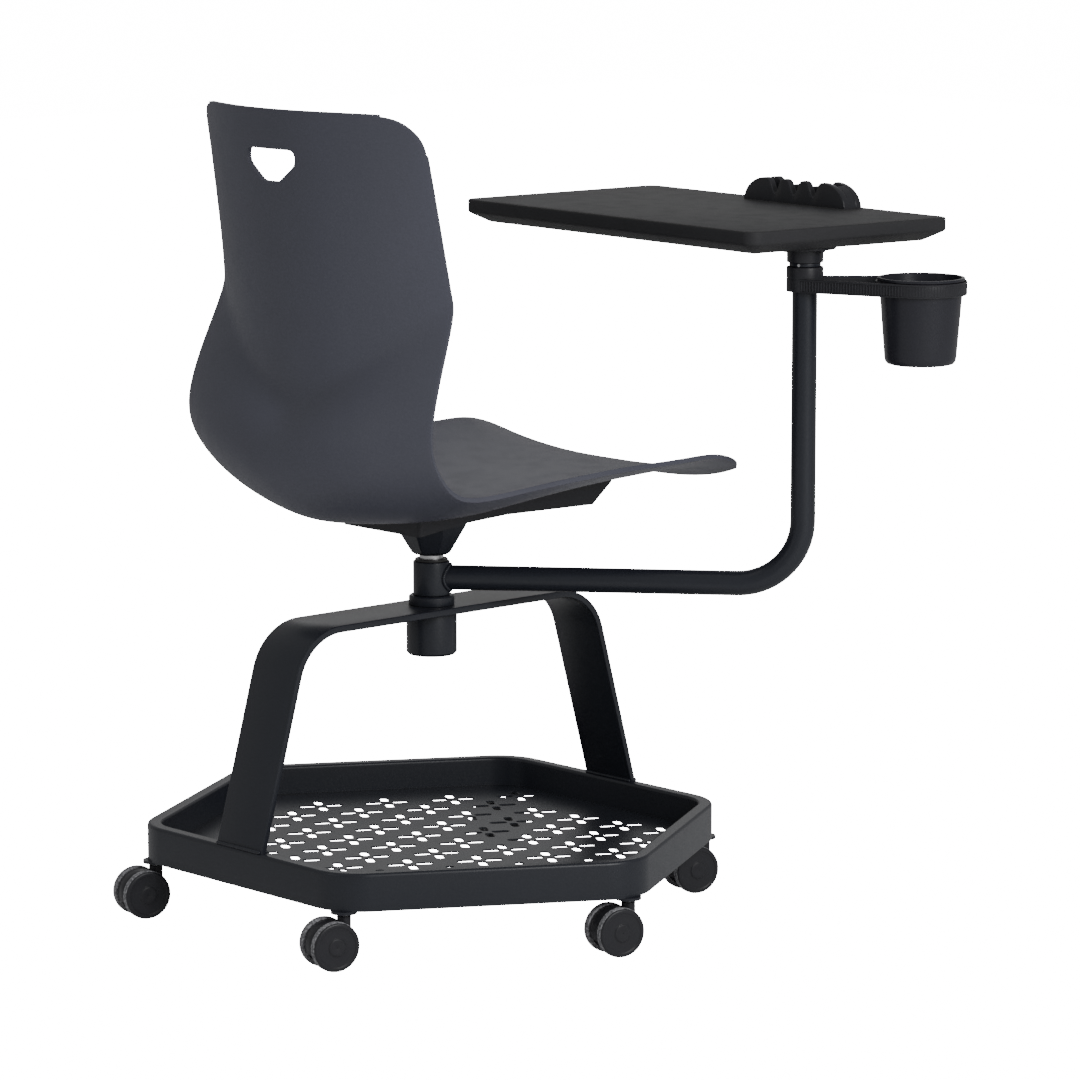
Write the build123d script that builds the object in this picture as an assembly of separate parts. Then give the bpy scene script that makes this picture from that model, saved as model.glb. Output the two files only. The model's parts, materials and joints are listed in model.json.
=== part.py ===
from build123d import *
import math
import os
import numpy as np

# Student chair on a six-caster base: swivelling one-piece shell seat, swinging tablet arm,
# tablet with a pen holder, cup holder and a perforated bag tray.
# Millimetres. The origin is on the floor under the column, +Z is up, the sitter faces -Y.

# ---------------------------------------------------------------- driving dimensions
# casters
wheel_d = 50.0
caster_width = 38.0
wheel_width = 9.6
tread_width = 7.0
tread_depth = 4.0
caster_trail = 16.0
stem_d = 8.0
axle_d = 6.0
boss_d = 14.0
boss_top_z = 52.0
hood_cut_z = 17.0
caster_heading = 75.5         # direction in which every wheel trails its stem, degrees from +X

# bag tray and its rim
rim_corner_x = 157.0
rim_half_depth = 260.0
rim_half_width = 311.0
rim_corner_r = 58.0
rim_width = 15.0
rim_bottom_z = 57.5
rim_top_z = 95.5
rim_wall = 1.5
rim_edge_r = 3.0
tray_floor_z = 65.0
tray_sheet = 1.5
slot_length = 19.0
slot_width = 9.0
slot_offset = 14.5
motif_pitch = 72.0
motif_row = 41.5
motif_turn = 61.0
motif_origin = (24.0, -3.0)

# arch and column
band_width = 70.0
band_thick = 7.2
band_top_z = 313.0
band_bend_r = 61.0
band_foot_y = 257.0
band_lean = 15.6
weld_leg = 3.6
spindle_d = 25.0
housing_d = spindle_d + 27.0
housing_wall = 4.0
housing_bottom_z = band_top_z - 51.5
column_collar_d = spindle_d + 22.0
column_collar_top_z = band_top_z + 10.0
bearing_height = 12.0

# seat hub and support
hub_bottom_z = band_top_z + 52.0
hub_foot_half = spindle_d / 2 + 3.0
hub_bottom_half = spindle_d / 2 + 7.5
hub_top_half = 36.0
hub_plate = 6.0
hub_top_z = band_top_z + 83.0
support_half_width = 60.0
support_rear_y = 68.0
support_front_y = -170.0
support_nose = 30.0
support_bottom_z = hub_top_z
support_front_z = hub_top_z + 9.0
support_wall = 4.0

# shell
shell_thick = 5.0
top_corner_r = 36.0
front_corner_r = 42.0
seat_z = hub_top_z + 17.0     # middle of the pan over the hub
handle_half = 36.0
handle_bottom_half = 12.0
handle_bottom_z = seat_z + 346.5
handle_knee_z = seat_z + 364.0
handle_top_z = seat_z + 378.5
handle_top_r = 7.0
handle_knee_r = 10.0
handle_bottom_r = 12.0

# tablet arm
arm_tube_d = 25.4
arm_tube_wall = 2.0
arm_reach = 380.4
arm_angle = 220.5             # direction of the arm from the column, degrees from +X
arm_z = band_top_z + 28.0
arm_bend_r = 66.0
arm_collar_d = spindle_d + 13.0
arm_collar_top_z = band_top_z + 45.0

# tablet
tablet_rear_width = 465.2
tablet_front_width = 473.9
tablet_depth = 264.5
tablet_turn = -4.12
tablet_centre = (-113.3, -272.8)
tablet_top_z = band_top_z + 398.0
tablet_edge = 13.5
tablet_thick = 24.4
tablet_bevel = 22.6
tablet_corner_r = 15.0
flange_d = 62.0
flange_thick = 3.0
socket_d = arm_tube_d + 11.6
socket_bottom_z = tablet_top_z - 41.0
post_top_z = tablet_top_z - 31.0
holder_length = 158.0
holder_depth = 24.0
holder_height = 25.0
holder_recess = 2.0
holder_fin_x = 45.0           # middle of the holder to the top of each fin
peg_pitch = 30.0
valley_depth = 16.0
trench_length = 104.0
trench_width = 9.0
trench_floor = 6.0
holder_shift = (-28.8, -113.5)     # pen holder from the tablet's centre, in the tablet's own axes

# cup holder and cup
clamp_d = arm_tube_d + 12.1
clamp_top_z = tablet_top_z - 45.5
cup_reach = 118.0
cup_angle = 214.3             # direction of the cup from the post, degrees from +X
ring_top_z = tablet_top_z - 56.7
ring_height = 14.0
strap_thick = 3.6
cup_top_d = 85.0
cup_bottom_d = 72.0
cup_bottom_z = tablet_top_z - 141.0
cup_wall = 1.8
cup_rim_d = cup_top_d + 3.2
cup_seat_d = cup_top_d + 0.2
ring_d = cup_seat_d + 2 * strap_thick
cup_rim_height = 3.0

# clearances
run_gap = 0.05                # shaft in its bush or hole, on the radius
face_gap = 0.3                # between bodies that turn past each other
seat_gap = 0.2                # between separate pieces of one body

parts = {}


def keep(name, *solids):
    parts[name] = solids[0] if len(solids) == 1 else Compound(children=list(solids))


def disc(d, low, high, x=0.0, y=0.0):
    """An upright cylinder from low to high."""
    return Pos(x, y, low) * Cylinder(d / 2, high - low, align=(Align.CENTER, Align.CENTER, Align.MIN))


def ring(outer_d, inner_d, low, high, x=0.0, y=0.0):
    return disc(outer_d, low, high, x, y) - disc(inner_d, low - 1, high + 1, x, y)


def polar(radius, degrees):
    return radius * math.cos(math.radians(degrees)), radius * math.sin(math.radians(degrees))


# ---------------------------------------------------------------- bag tray
hexagon = [(-rim_corner_x, -rim_half_depth), (rim_corner_x, -rim_half_depth), (rim_half_width, 0),
           (rim_corner_x, rim_half_depth), (-rim_corner_x, rim_half_depth), (-rim_half_width, 0)]


def hex_outline(inset):
    """The rim's rounded hexagon, drawn in by inset."""
    outline = offset(Polygon(*hexagon, align=None), -rim_corner_r, kind=Kind.INTERSECTION)
    return offset(outline, rim_corner_r - inset, kind=Kind.ARC)


def hex_plate(inset, low, high):
    return extrude(Pos(0, 0, low) * hex_outline(inset), high - low)


def make_rim():
    """A channel of folded sheet, open underneath, with rounded upper edges."""
    rim = hex_plate(0, rim_bottom_z, rim_top_z) - hex_plate(rim_width, rim_bottom_z - 1, rim_top_z + 1)
    rim = fillet(rim.edges().group_by(Axis.Z)[-1], rim_edge_r)
    hollow = hex_plate(rim_wall, rim_bottom_z - 1, rim_top_z - 2 * rim_wall)
    return rim - (hollow - hex_plate(rim_width - rim_wall, rim_bottom_z - 2, rim_top_z))


def floor_motifs():
    """Centres of the slot crosses that lie wholly on the tray floor."""
    along = polar(1, motif_turn)
    across = polar(1, motif_turn + 90)
    reach = slot_offset + slot_length / 2 + 8
    limit = offset(Polygon(*hexagon, align=None), -(rim_width + reach), kind=Kind.INTERSECTION).face()
    centres = []
    for row in range(-8, 9):
        for step in range(-6, 7):
            a = (step + 0.5 * (row % 2)) * motif_pitch
            b = row * motif_row
            x = motif_origin[0] + a * along[0] + b * across[0]
            y = motif_origin[1] + a * along[1] + b * across[1]
            under_leg = abs(x) < band_width / 2 + 4 and abs(y) > band_foot_y - 30
            if limit.is_inside(Vector(x, y, 0)) and not under_leg:
                centres.append((x, y))
    return centres


def make_floor():
    slots = []
    for x, y in floor_motifs():
        for quarter in range(4):
            turn = motif_turn + 90 * quarter
            dx, dy = polar(slot_offset, turn)
            slots.append(Pos(x + dx, y + dy) * Rot(0, 0, turn) * SlotOverall(slot_length, slot_width))
    return extrude(Pos(0, 0, tray_floor_z - tray_sheet) * (hex_outline(rim_width) - slots), tray_sheet)


keep("hex_rim", make_rim())
keep("tray_floor", make_floor())

# ---------------------------------------------------------------- casters
def stem_place(before, corner, after):
    """A place on the rim's centre line at a rounded corner of the hexagon."""
    corner, toward = Vector(*corner), Vector(0, 0)
    for other in (before, after):
        toward += (Vector(*other) - corner).normalized()
    toward = toward.normalized()
    half_angle = math.radians((Vector(*before) - corner).get_angle(toward))
    return corner + toward * (rim_corner_r / math.sin(half_angle) - rim_corner_r + rim_width / 2)


stem_places = []
for i in range(len(hexagon)):
    spot = stem_place(hexagon[i - 1], hexagon[i], hexagon[(i + 1) % len(hexagon)])
    stem_places.append((spot.X, spot.Y))

socket_flange_d = 26.0
socket_tube_d = rim_width - 2 * rim_wall - 2 * seat_gap
socket_flange = 3.0
stem_hole_d = stem_d + 2 * run_gap
socket_top_z = rim_top_z - 2 * rim_wall - 1
stem_top_z = socket_top_z - 4
washer_d = 11.0
washer_low_z = boss_top_z + 0.1
washer_high_z = rim_bottom_z - socket_flange - face_gap
wheel_z = wheel_d / 2
hood_half = caster_width / 2 - wheel_width - 0.4
hood_d = wheel_d - 3
stem_root_z = wheel_z + axle_d

sockets = []
for x, y in stem_places:
    socket = disc(socket_flange_d, rim_bottom_z - socket_flange, rim_bottom_z, x, y)
    socket += disc(socket_tube_d, rim_bottom_z, socket_top_z, x, y)
    sockets.append(socket - disc(stem_hole_d, 0, rim_top_z, x, y))
keep("caster_sockets", *sockets)


def across_axle(d, start, end):
    """A disc on the wheel axis, from start to end along the axle (local Y)."""
    turned = Pos(0, start, wheel_z) * Rot(-90, 0, 0)
    return turned * Cylinder(d / 2, end - start, align=(Align.CENTER, Align.CENTER, Align.MIN))


def caster_pieces():
    """Stem, hood, axle, wheels and treads about the stem's foot, trailing along local +X."""
    stem = disc(stem_d, stem_root_z, stem_top_z) + disc(washer_d, washer_low_z, washer_high_z)
    hood = Pos(caster_trail, 0, 0) * across_axle(hood_d, -hood_half, hood_half)
    hood -= Pos(caster_trail, 0, 0) * Box(2 * wheel_d, 2 * wheel_d, 2 * hood_cut_z)
    hood += disc(boss_d, stem_root_z, boss_top_z)
    hood -= disc(stem_d, stem_root_z, boss_top_z + 1)
    hood -= Pos(caster_trail, 0, 0) * across_axle(axle_d, -hood_half - 1, hood_half + 1)
    half = caster_width / 2
    axle = Pos(caster_trail, 0, 0) * across_axle(axle_d, -half + 2.5, half - 2.5)
    wheels, treads = [], []
    for side in (-1, 1):
        outer, inner = side * half, side * (half - wheel_width)
        cap = side * (half - wheel_width + tread_width + seat_gap)
        hub = across_axle(wheel_d - 2 * tread_depth, min(outer, inner), max(outer, inner))
        hub += across_axle(wheel_d - 1.0, min(outer, cap), max(outer, cap))
        rounding = [e for e in hub.edges().filter_by(GeomType.CIRCLE)
                    if abs(e.center().Y - outer) < 0.01 and e.radius > wheel_d / 3]
        hub = fillet(rounding, 1.2)
        pocket = side * (half - 2.0)
        hub -= across_axle(axle_d + 2 * run_gap, min(inner - side, pocket), max(inner - side, pocket))
        rim_end = side * (half - wheel_width + tread_width)
        tread = across_axle(wheel_d, min(inner, rim_end), max(inner, rim_end))
        tread -= across_axle(wheel_d - 2 * tread_depth, -half, half)
        wheels.append(Pos(caster_trail, 0, 0) * hub)
        treads.append(Pos(caster_trail, 0, 0) * tread)
    return stem, hood, axle, wheels, treads


caster = caster_pieces()
for number, (x, y) in enumerate(stem_places, start=1):
    place = Pos(x, y, 0) * Rot(0, 0, caster_heading)
    stem, hood, axle, wheels, treads = caster
    keep(f"caster_stem_{number}", place * stem)
    keep(f"caster_hood_{number}", place * hood)
    keep(f"caster_axle_{number}", place * axle)
    keep(f"caster_wheels_{number}", *[place * wheel for wheel in wheels])
    keep(f"caster_treads_{number}", *[place * tread for tread in treads])

# ---------------------------------------------------------------- arch band
lean = math.radians(band_lean)
band_corner_y = band_foot_y - (band_top_z - rim_top_z) * math.tan(lean)
band_path = FilletPolyline((0, -band_foot_y, rim_top_z), (0, -band_corner_y, band_top_z),
                           (0, band_corner_y, band_top_z), (0, band_foot_y, rim_top_z), radius=band_bend_r)
foot_thick = band_thick / math.cos(lean)
shoulder = band_thick * math.tan((math.pi / 2 - lean) / 2)
inner_path = FilletPolyline((0, -band_foot_y + foot_thick, rim_top_z),
                            (0, -band_corner_y + shoulder, band_top_z - band_thick),
                            (0, band_corner_y - shoulder, band_top_z - band_thick),
                            (0, band_foot_y - foot_thick, rim_top_z), radius=band_bend_r - band_thick)


def under_path(path, half_width):
    """The solid between a path and the level of its two ends."""
    return extrude(make_face([*path.edges(), Line(path @ 1, path @ 0)]), half_width, both=True)


band = under_path(band_path, band_width / 2) - under_path(inner_path, band_width)
band_hole_d = housing_d - 2 * housing_wall
band -= disc(band_hole_d, band_top_z - 2 * band_thick, band_top_z + 1)
keep("arch_band", band)


def weld_bead(face_y, away):
    """A fillet weld across the band, in the corner between its foot and the rim's top."""
    outline = Polygon((face_y, rim_top_z), (face_y + away * weld_leg, rim_top_z),
                      (face_y, rim_top_z + weld_leg), align=None)
    return extrude(Plane.YZ * outline, band_width / 2 - 1, both=True) - band


beads = []
for side in (-1, 1):
    beads.append(weld_bead(side * band_foot_y, side))
    beads.append(weld_bead(side * (band_foot_y - foot_thick), -side))
keep("leg_weld_beads", *[solid for bead in beads for solid in bead.solids()])

# ---------------------------------------------------------------- column
housing = ring(housing_d, band_hole_d, housing_bottom_z, band_top_z - band_thick)
housing = chamfer(housing.edges().group_by(Axis.Z)[0].filter_by(lambda e: e.radius > band_hole_d / 2 + 1), 2.5)
keep("column_housing", housing)
cap_thick = 4.0
keep("housing_cap", fillet(disc(band_hole_d - 2 * seat_gap, housing_bottom_z + 1, housing_bottom_z + 1 + cap_thick)
                           .edges().group_by(Axis.Z)[0], 1.0))
collar_bore_d = spindle_d + 2 * face_gap
collar = disc(column_collar_d, band_top_z, column_collar_top_z)
collar += disc(band_hole_d - 2 * seat_gap, band_top_z - band_thick, band_top_z)
collar = chamfer(collar.edges().group_by(Axis.Z)[-1], 1.2) - disc(collar_bore_d, 0, hub_top_z)
keep("column_collar", collar)
spindle_low_z = housing_bottom_z + 12
upper_bearing_z = band_top_z - band_thick - bearing_height - seat_gap
lower_bearing_z = spindle_low_z + 6
bearings = []
for low in (lower_bearing_z, upper_bearing_z):
    bearings.append(ring(band_hole_d - 2 * run_gap, spindle_d + 2 * run_gap, low, low + bearing_height))
keep("spindle_bearings", *bearings)

# ---------------------------------------------------------------- arm collar and bushes
arm_collar_low_z = column_collar_top_z + face_gap
bush_wall = 2.5
bush_d = spindle_d + 2 * run_gap + 2 * bush_wall
arm_collar = ring(arm_collar_d, bush_d, arm_collar_low_z, arm_collar_top_z)
keep("arm_bush", ring(bush_d, spindle_d + 2 * run_gap, arm_collar_low_z, arm_collar_top_z))
glide_top_z = arm_collar_top_z + 2.7
keep("bearing_ring", ring(arm_collar_d - 4, spindle_d + 2 * face_gap, arm_collar_top_z, glide_top_z))
groove_d = spindle_d - 3.0
circlip = 2.2
keep("spindle_circlip", ring(spindle_d + 7, groove_d, lower_bearing_z - circlip, lower_bearing_z - face_gap))

# ---------------------------------------------------------------- tablet arm
arm_x, arm_y = polar(1, arm_angle)
post_x, post_y = polar(arm_reach, arm_angle)
tube_start = arm_collar_d / 2 - 3


def swept_tube(d):
    path = FilletPolyline((arm_x * tube_start, arm_y * tube_start, arm_z), (post_x, post_y, arm_z),
                          (post_x, post_y, post_top_z), radius=arm_bend_r)
    plane = Plane(origin=path @ 0, z_dir=(arm_x, arm_y, 0))
    return sweep(plane * Circle(d / 2), path=path)


stop_low_z = clamp_top_z + face_gap
stop_high_z = socket_bottom_z - face_gap
stop_d = arm_tube_d + 6.6
pin_d = 3.0
pin_turn = 112.5
pin_z = (stop_low_z + stop_high_z) / 2
pin = Pos(post_x, post_y, pin_z) * Rot(0, 0, pin_turn) * Rot(0, 90, 0) * Cylinder(pin_d / 2, stop_d + 2.0)

tube_bore_d = arm_tube_d - 2 * arm_tube_wall
saddle = disc(arm_collar_d, arm_z - arm_tube_d, arm_z + arm_tube_d)
keep("arm_collar", arm_collar)
keep("arm_tube", swept_tube(arm_tube_d) - swept_tube(tube_bore_d) - saddle - pin)
plug_depth = 9.0
plug_rim = 2.5
keep("post_cap", disc(tube_bore_d - 2 * run_gap, post_top_z - plug_depth, post_top_z, post_x, post_y)
     + disc(arm_tube_d, post_top_z, post_top_z + plug_rim, post_x, post_y))
keep("stop_ring", ring(stop_d, arm_tube_d, stop_low_z, stop_high_z, post_x, post_y) - pin)
keep("stop_pin", pin)

# ---------------------------------------------------------------- tablet
on_tablet = Pos(tablet_centre[0], tablet_centre[1], 0) * Rot(0, 0, tablet_turn)


def tablet_outline(inset):
    rear, front, depth = tablet_rear_width / 2, tablet_front_width / 2, tablet_depth / 2
    shape = Polygon((-rear, depth), (-front, -depth), (front, -depth), (rear, depth), align=None)
    shape = offset(shape, -tablet_corner_r, kind=Kind.INTERSECTION)
    return offset(shape, tablet_corner_r - inset, kind=Kind.ARC)


holder_x, holder_y = holder_shift
holder_low_z = tablet_top_z - holder_recess
upper_slab = extrude(Pos(0, 0, tablet_top_z - tablet_edge) * tablet_outline(0), tablet_edge)
upper_slab = chamfer(upper_slab.edges().group_by(Axis.Z)[-1], 1.0)
lower_slab = loft([Pos(0, 0, tablet_top_z - tablet_thick) * tablet_outline(tablet_bevel).face(),
                   Pos(0, 0, tablet_top_z - tablet_edge) * tablet_outline(0).face()])
recess = Pos(holder_x, holder_y, holder_low_z) * Box(
    holder_length + 2 * seat_gap, holder_depth + 2 * seat_gap, holder_recess + 1,
    align=(Align.CENTER, Align.CENTER, Align.MIN))
tablet = on_tablet * (upper_slab + lower_slab - recess)


def holder_rise(x):
    """Height of the holder over the tablet at x: two quarter-round fins and rounded pegs between valleys."""
    if abs(x) > holder_fin_x:
        return holder_height * math.sqrt(1 - ((abs(x) - holder_fin_x) / (holder_length / 2 - holder_fin_x)) ** 2)
    from_valley = (x + peg_pitch / 2) % peg_pitch - peg_pitch / 2
    return holder_height - valley_depth * math.cos(math.pi * from_valley / peg_pitch) ** 4


def make_pen_holder():
    """Two like walls with a trench between them."""
    half = holder_length / 2
    foot = [half - 0.4, half - 2.0, half - 5.0]
    inner = [holder_fin_x * k / 18 for k in range(-18, 19)]
    arc = [holder_fin_x + (half - 7.0 - holder_fin_x) * k / 5 for k in range(1, 6)]
    across = [-x for x in foot + arc[::-1]] + inner + arc + foot[::-1]
    crest = [(x, tablet_top_z + holder_rise(x)) for x in across]
    outline = [Spline((-half, tablet_top_z), *crest, (half, tablet_top_z)),
               Line((half, tablet_top_z), (half, holder_low_z)), Line((half, holder_low_z), (-half, holder_low_z)),
               Line((-half, holder_low_z), (-half, tablet_top_z))]
    body = extrude(Plane.XZ * make_face(outline), holder_depth / 2, both=True)
    trench = Pos(0, 0, tablet_top_z + trench_floor) * SlotOverall(trench_length, trench_width)
    return body - extrude(trench, holder_height)


keep("pen_holder", on_tablet * Pos(holder_x, holder_y, 0) * make_pen_holder())

under_z = tablet_top_z - tablet_thick
post_bush_d = arm_tube_d + 2 * run_gap + 2 * bush_wall
swivel = disc(flange_d, under_z - flange_thick, under_z, post_x, post_y)
swivel += disc(socket_d, socket_bottom_z, under_z, post_x, post_y)
swivel -= disc(post_bush_d, socket_bottom_z - 1, post_top_z + plug_rim + face_gap, post_x, post_y)
screw_d = 4.0
screw_head_d = 8.0
screw_head = 2.2
screw_ring_d = 50.0
table_screws = []
for quarter in range(4):
    dx, dy = polar(screw_ring_d / 2, 45 + 90 * quarter + arm_angle)
    place = (post_x + dx, post_y + dy)
    screw = disc(screw_d, under_z - flange_thick, under_z + 10, *place)
    head = disc(screw_head_d, under_z - flange_thick - screw_head, under_z - flange_thick, *place)
    screw += fillet(head.edges().group_by(Axis.Z)[0], 1.0)
    table_screws.append(screw)
    swivel -= disc(screw_d, under_z - 20, under_z + 1, *place)
    tablet -= disc(screw_d, under_z - 1, under_z + 10, *place)
keep("tabletop", tablet)
keep("tablet_swivel", swivel)
keep("tablet_screws", *table_screws)
keep("post_bush", ring(post_bush_d, arm_tube_d + 2 * run_gap, socket_bottom_z, post_top_z - face_gap,
                       post_x, post_y))

# ---------------------------------------------------------------- cup holder and cup
cup_dx, cup_dy = polar(cup_reach, cup_angle)
cup_x, cup_y = post_x + cup_dx, post_y + cup_dy
ring_low_z = ring_top_z - ring_height


def strap_outline(inset):
    """The outline that wraps the clamp and the cup's ring, drawn in by inset."""
    small, large = Circle(clamp_d / 2 - inset), Pos(cup_reach, 0) * Circle(ring_d / 2 - inset)
    return make_hull([*small.edges(), *large.edges()])


at_post = Pos(post_x, post_y, 0) * Rot(0, 0, cup_angle)
window = strap_outline(strap_thick) - Circle(clamp_d / 2) - Pos(cup_reach, 0) * Circle(ring_d / 2)
loop_body = extrude(Pos(0, 0, ring_low_z) * strap_outline(0), ring_height)
loop_body -= extrude(Pos(0, 0, ring_low_z - 1) * window, ring_height + 2)
loop_body = at_post * (loop_body - disc(cup_seat_d, ring_low_z - 1, ring_top_z + 1, cup_reach))
loop_body += disc(clamp_d, ring_top_z, clamp_top_z, post_x, post_y)
loop_body -= disc(arm_tube_d + 2 * run_gap, ring_low_z - 1, clamp_top_z + 1, post_x, post_y)
clamp_screw_d = 5.0
screw_turn = cup_angle + 180
cx, cy = polar(1, screw_turn)
clamp_screw_z = (ring_top_z + clamp_top_z) / 2
screw_end = arm_tube_d / 2 + 1.0
screw_axis = Plane(origin=(post_x + cx * screw_end, post_y + cy * screw_end, clamp_screw_z), z_dir=(cx, cy, 0))
clamp_screw = screw_axis * Cylinder(clamp_screw_d / 2, clamp_d / 2 - screw_end - 0.5,
                                    align=(Align.CENTER, Align.CENTER, Align.MIN))
loop_body -= screw_axis * Cylinder(clamp_screw_d / 2, clamp_d, align=(Align.CENTER, Align.CENTER, Align.MIN))
keep("cup_ring", loop_body)
keep("clamp_screw", clamp_screw)

cup_top_z = ring_top_z + face_gap + cup_rim_height


def cup_profile(shrink, low, high):
    """A cone frustum about the cup's axis, shrunk inwards."""
    slope = (cup_top_d - cup_bottom_d) / 2 / (cup_top_z - cup_bottom_z)
    bottom_r = cup_bottom_d / 2 + (low - cup_bottom_z) * slope - shrink
    top_r = cup_bottom_d / 2 + (high - cup_bottom_z) * slope - shrink
    return Pos(cup_x, cup_y, low) * Cone(bottom_r, top_r, high - low, align=(Align.CENTER, Align.CENTER, Align.MIN))


cup = cup_profile(0, cup_bottom_z, cup_top_z)
cup = fillet(cup.edges().group_by(Axis.Z)[0], 7.0)
cup += disc(cup_rim_d, cup_top_z - cup_rim_height, cup_top_z, cup_x, cup_y)
cavity = cup_profile(cup_wall, cup_bottom_z + cup_wall, cup_top_z + 1)
cavity = fillet(cavity.edges().group_by(Axis.Z)[0], 5.5)
keep("cup", cup - cavity)

# ---------------------------------------------------------------- shell surface
# Rows of the shell's middle surface, front lip to crease. Each gives the centre's y and height over
# seat_z, the same for its sides, and the half-width.
pan_rows = [
    (-290, 13, -262, 38, 184), (-264, 22, -238, 48, 190), (-195, 25, -178, 52, 192),
    (-110, 19, -100, 51, 192), (-20, 9, -18, 47, 190), (60, 0, 50, 42, 188), (130, 1, 112, 40, 186),
    (184, 21, 142, 56, 185), (211, 61, 162, 91, 187), (207, 94, 158, 136, 186),
    (183.5, 119, 122.5, 224, 175.8)]
# The same from the crease to the top of the back.
back_rows = [
    (183.5, 119, 122.5, 224, 175.8), (192, 196, 130, 276, 171.4), (202, 296, 141, 341, 167.9),
    (211, 418, 156, 414.5, 165.4)]
shell_low_z = seat_z - 33.0
crease_reach = 16.0           # run over which the crease is rounded
crease_round = 0.13           # share of the half-width over which the crease's V is rounded
dish_power = 2.6
crown_power = 5.0
curve_power = 2.1


def natural_spline(rows, spacing):
    """Points of a natural cubic through the rows, by the run along the centre line."""
    rows = np.array(rows, float) + (0, seat_z, 0, seat_z, 0)
    run = np.concatenate([[0], np.cumsum(np.hypot(*np.diff(rows[:, :2], axis=0).T))])
    step = np.diff(run)
    count = len(rows)
    matrix = np.eye(count)
    bends = np.zeros_like(rows)
    for i in range(1, count - 1):
        matrix[i, i - 1:i + 2] = step[i - 1], 2 * (step[i - 1] + step[i]), step[i]
        bends[i] = 6 * ((rows[i + 1] - rows[i]) / step[i] - (rows[i] - rows[i - 1]) / step[i - 1])
    bends = np.linalg.solve(matrix, bends)
    at = np.linspace(0, run[-1], int(run[-1] / spacing) + 1)
    samples = []
    for s in at:
        i = min(int(np.searchsorted(run, s, side="right")) - 1, count - 2)
        a, b, h = run[i + 1] - s, s - run[i], step[i]
        samples.append((bends[i] * a ** 3 + bends[i + 1] * b ** 3) / (6 * h)
                       + (rows[i] / h - bends[i] * h / 6) * a + (rows[i + 1] / h - bends[i + 1] * h / 6) * b)
    return np.array(samples), at


def shell_rows(run_step):
    """Rows along the whole shell with the crease rounded, and their shares of back and crown shape."""
    pan, pan_run = natural_spline(pan_rows, 4.0)
    back, back_run = natural_spline(back_rows, 4.0)
    rows = np.vstack([pan, back[1:]])
    run = np.concatenate([pan_run, pan_run[-1] + back_run[1:]])
    at = np.linspace(0, run[-1], int(run[-1] / run_step) + 1)
    weights = np.array([1, 2, 3, 4, 3, 2, 1]) / 16
    shifts = np.arange(-3, 4) * crease_reach / 3
    smooth = np.zeros((len(at), rows.shape[1]))
    for weight, shift in zip(weights, shifts):
        place = np.clip(at + shift, run[0], run[-1])
        smooth += weight * np.array([np.interp(place, run, rows[:, k]) for k in range(rows.shape[1])]).T
    # the two ends keep their true place
    for k in range(rows.shape[1]):
        near_end = np.minimum(at, run[-1] - at) < crease_reach
        smooth[near_end, k] = np.interp(at[near_end], run, rows[:, k])
    share = np.clip((at - 0.55 * pan_run[-1]) / (0.3 * pan_run[-1]), 0, 1)
    crown = np.clip((at - pan_run[-1]) / back_run[-1], 0, 1)
    return smooth, share * share * (3 - 2 * share), crown * crown * (3 - 2 * crown)


def shell_grid(run_step=12.0, columns=17):
    """Points of the middle surface and its unit normals."""
    rows, share, crown = shell_rows(run_step)
    t = np.linspace(-1, 1, columns)
    straight = (np.sqrt(t * t + crease_round ** 2) - crease_round) / (math.sqrt(1 + crease_round ** 2) - crease_round)
    dish = np.abs(t) ** dish_power
    curve = np.abs(t) ** curve_power
    arched = straight[None, :] * (1 - crown[:, None]) + np.abs(t[None, :]) ** crown_power * crown[:, None]
    lift = dish[None, :] * (1 - share[:, None]) + arched * share[:, None]
    grid = np.zeros((len(rows), columns, 3))
    grid[:, :, 0] = rows[:, 4:5] * t[None, :]
    grid[:, :, 1] = rows[:, 0:1] + (rows[:, 2:3] - rows[:, 0:1]) * curve[None, :]
    grid[:, :, 2] = rows[:, 1:2] + (rows[:, 3:4] - rows[:, 1:2]) * lift
    normals = np.cross(np.gradient(grid, axis=1), np.gradient(grid, axis=0))
    return grid, normals / np.linalg.norm(normals, axis=2, keepdims=True)


def skin(grid):
    points = [[Vector(*p) for p in row] for row in grid]
    return Face.make_surface_from_array_of_points(points, tol=0.02, min_deg=3, max_deg=5)


def side_edges(face):
    """The skin's four boundary edges: front, top, left and right."""
    edges = face.edges()
    front = edges.sort_by(Axis.Y)[0]
    top = edges.sort_by(Axis.Z)[-1]
    sides = [e for e in edges if not e.is_same(front) and not e.is_same(top)]
    sides.sort(key=lambda e: e.center().X)
    return front, top, sides[0], sides[1]


def between_skins(lower, upper):
    walls = [Face.make_surface_from_curves(a, b) for a, b in zip(side_edges(lower), side_edges(upper))]
    return Solid(Shell([lower, upper, *walls]))


grid, normals = shell_grid()
lower_skin = skin(grid - normals * shell_thick / 2)
upper_skin = skin(grid + normals * shell_thick / 2)
shell = between_skins(lower_skin, upper_skin)


def outside_corner(x, other, radius, toward_x, toward_other):
    """What lies outside a quarter round whose centre is x, other, in a flat sketch."""
    size = radius + 20.0
    square = Pos(x + toward_x * size / 2, other + toward_other * size / 2) * Rectangle(size, size)
    return square - Pos(x, other) * Circle(radius)


top_width, top_z = back_rows[-1][4], back_rows[-1][3] + seat_z
front_width, front_y = pan_rows[1][4], (pan_rows[0][0] + pan_rows[0][2]) / 2
for side in (-1, 1):
    crown = outside_corner(side * (top_width - top_corner_r), top_z - top_corner_r, top_corner_r, side, 1)
    shell -= extrude(Plane.XZ * crown, rim_half_width, both=True)
    lip = outside_corner(side * (front_width - front_corner_r), front_y + front_corner_r, front_corner_r, side, -1)
    shell -= extrude(Pos(0, 0, shell_low_z) * lip, handle_bottom_z - shell_low_z)

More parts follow.
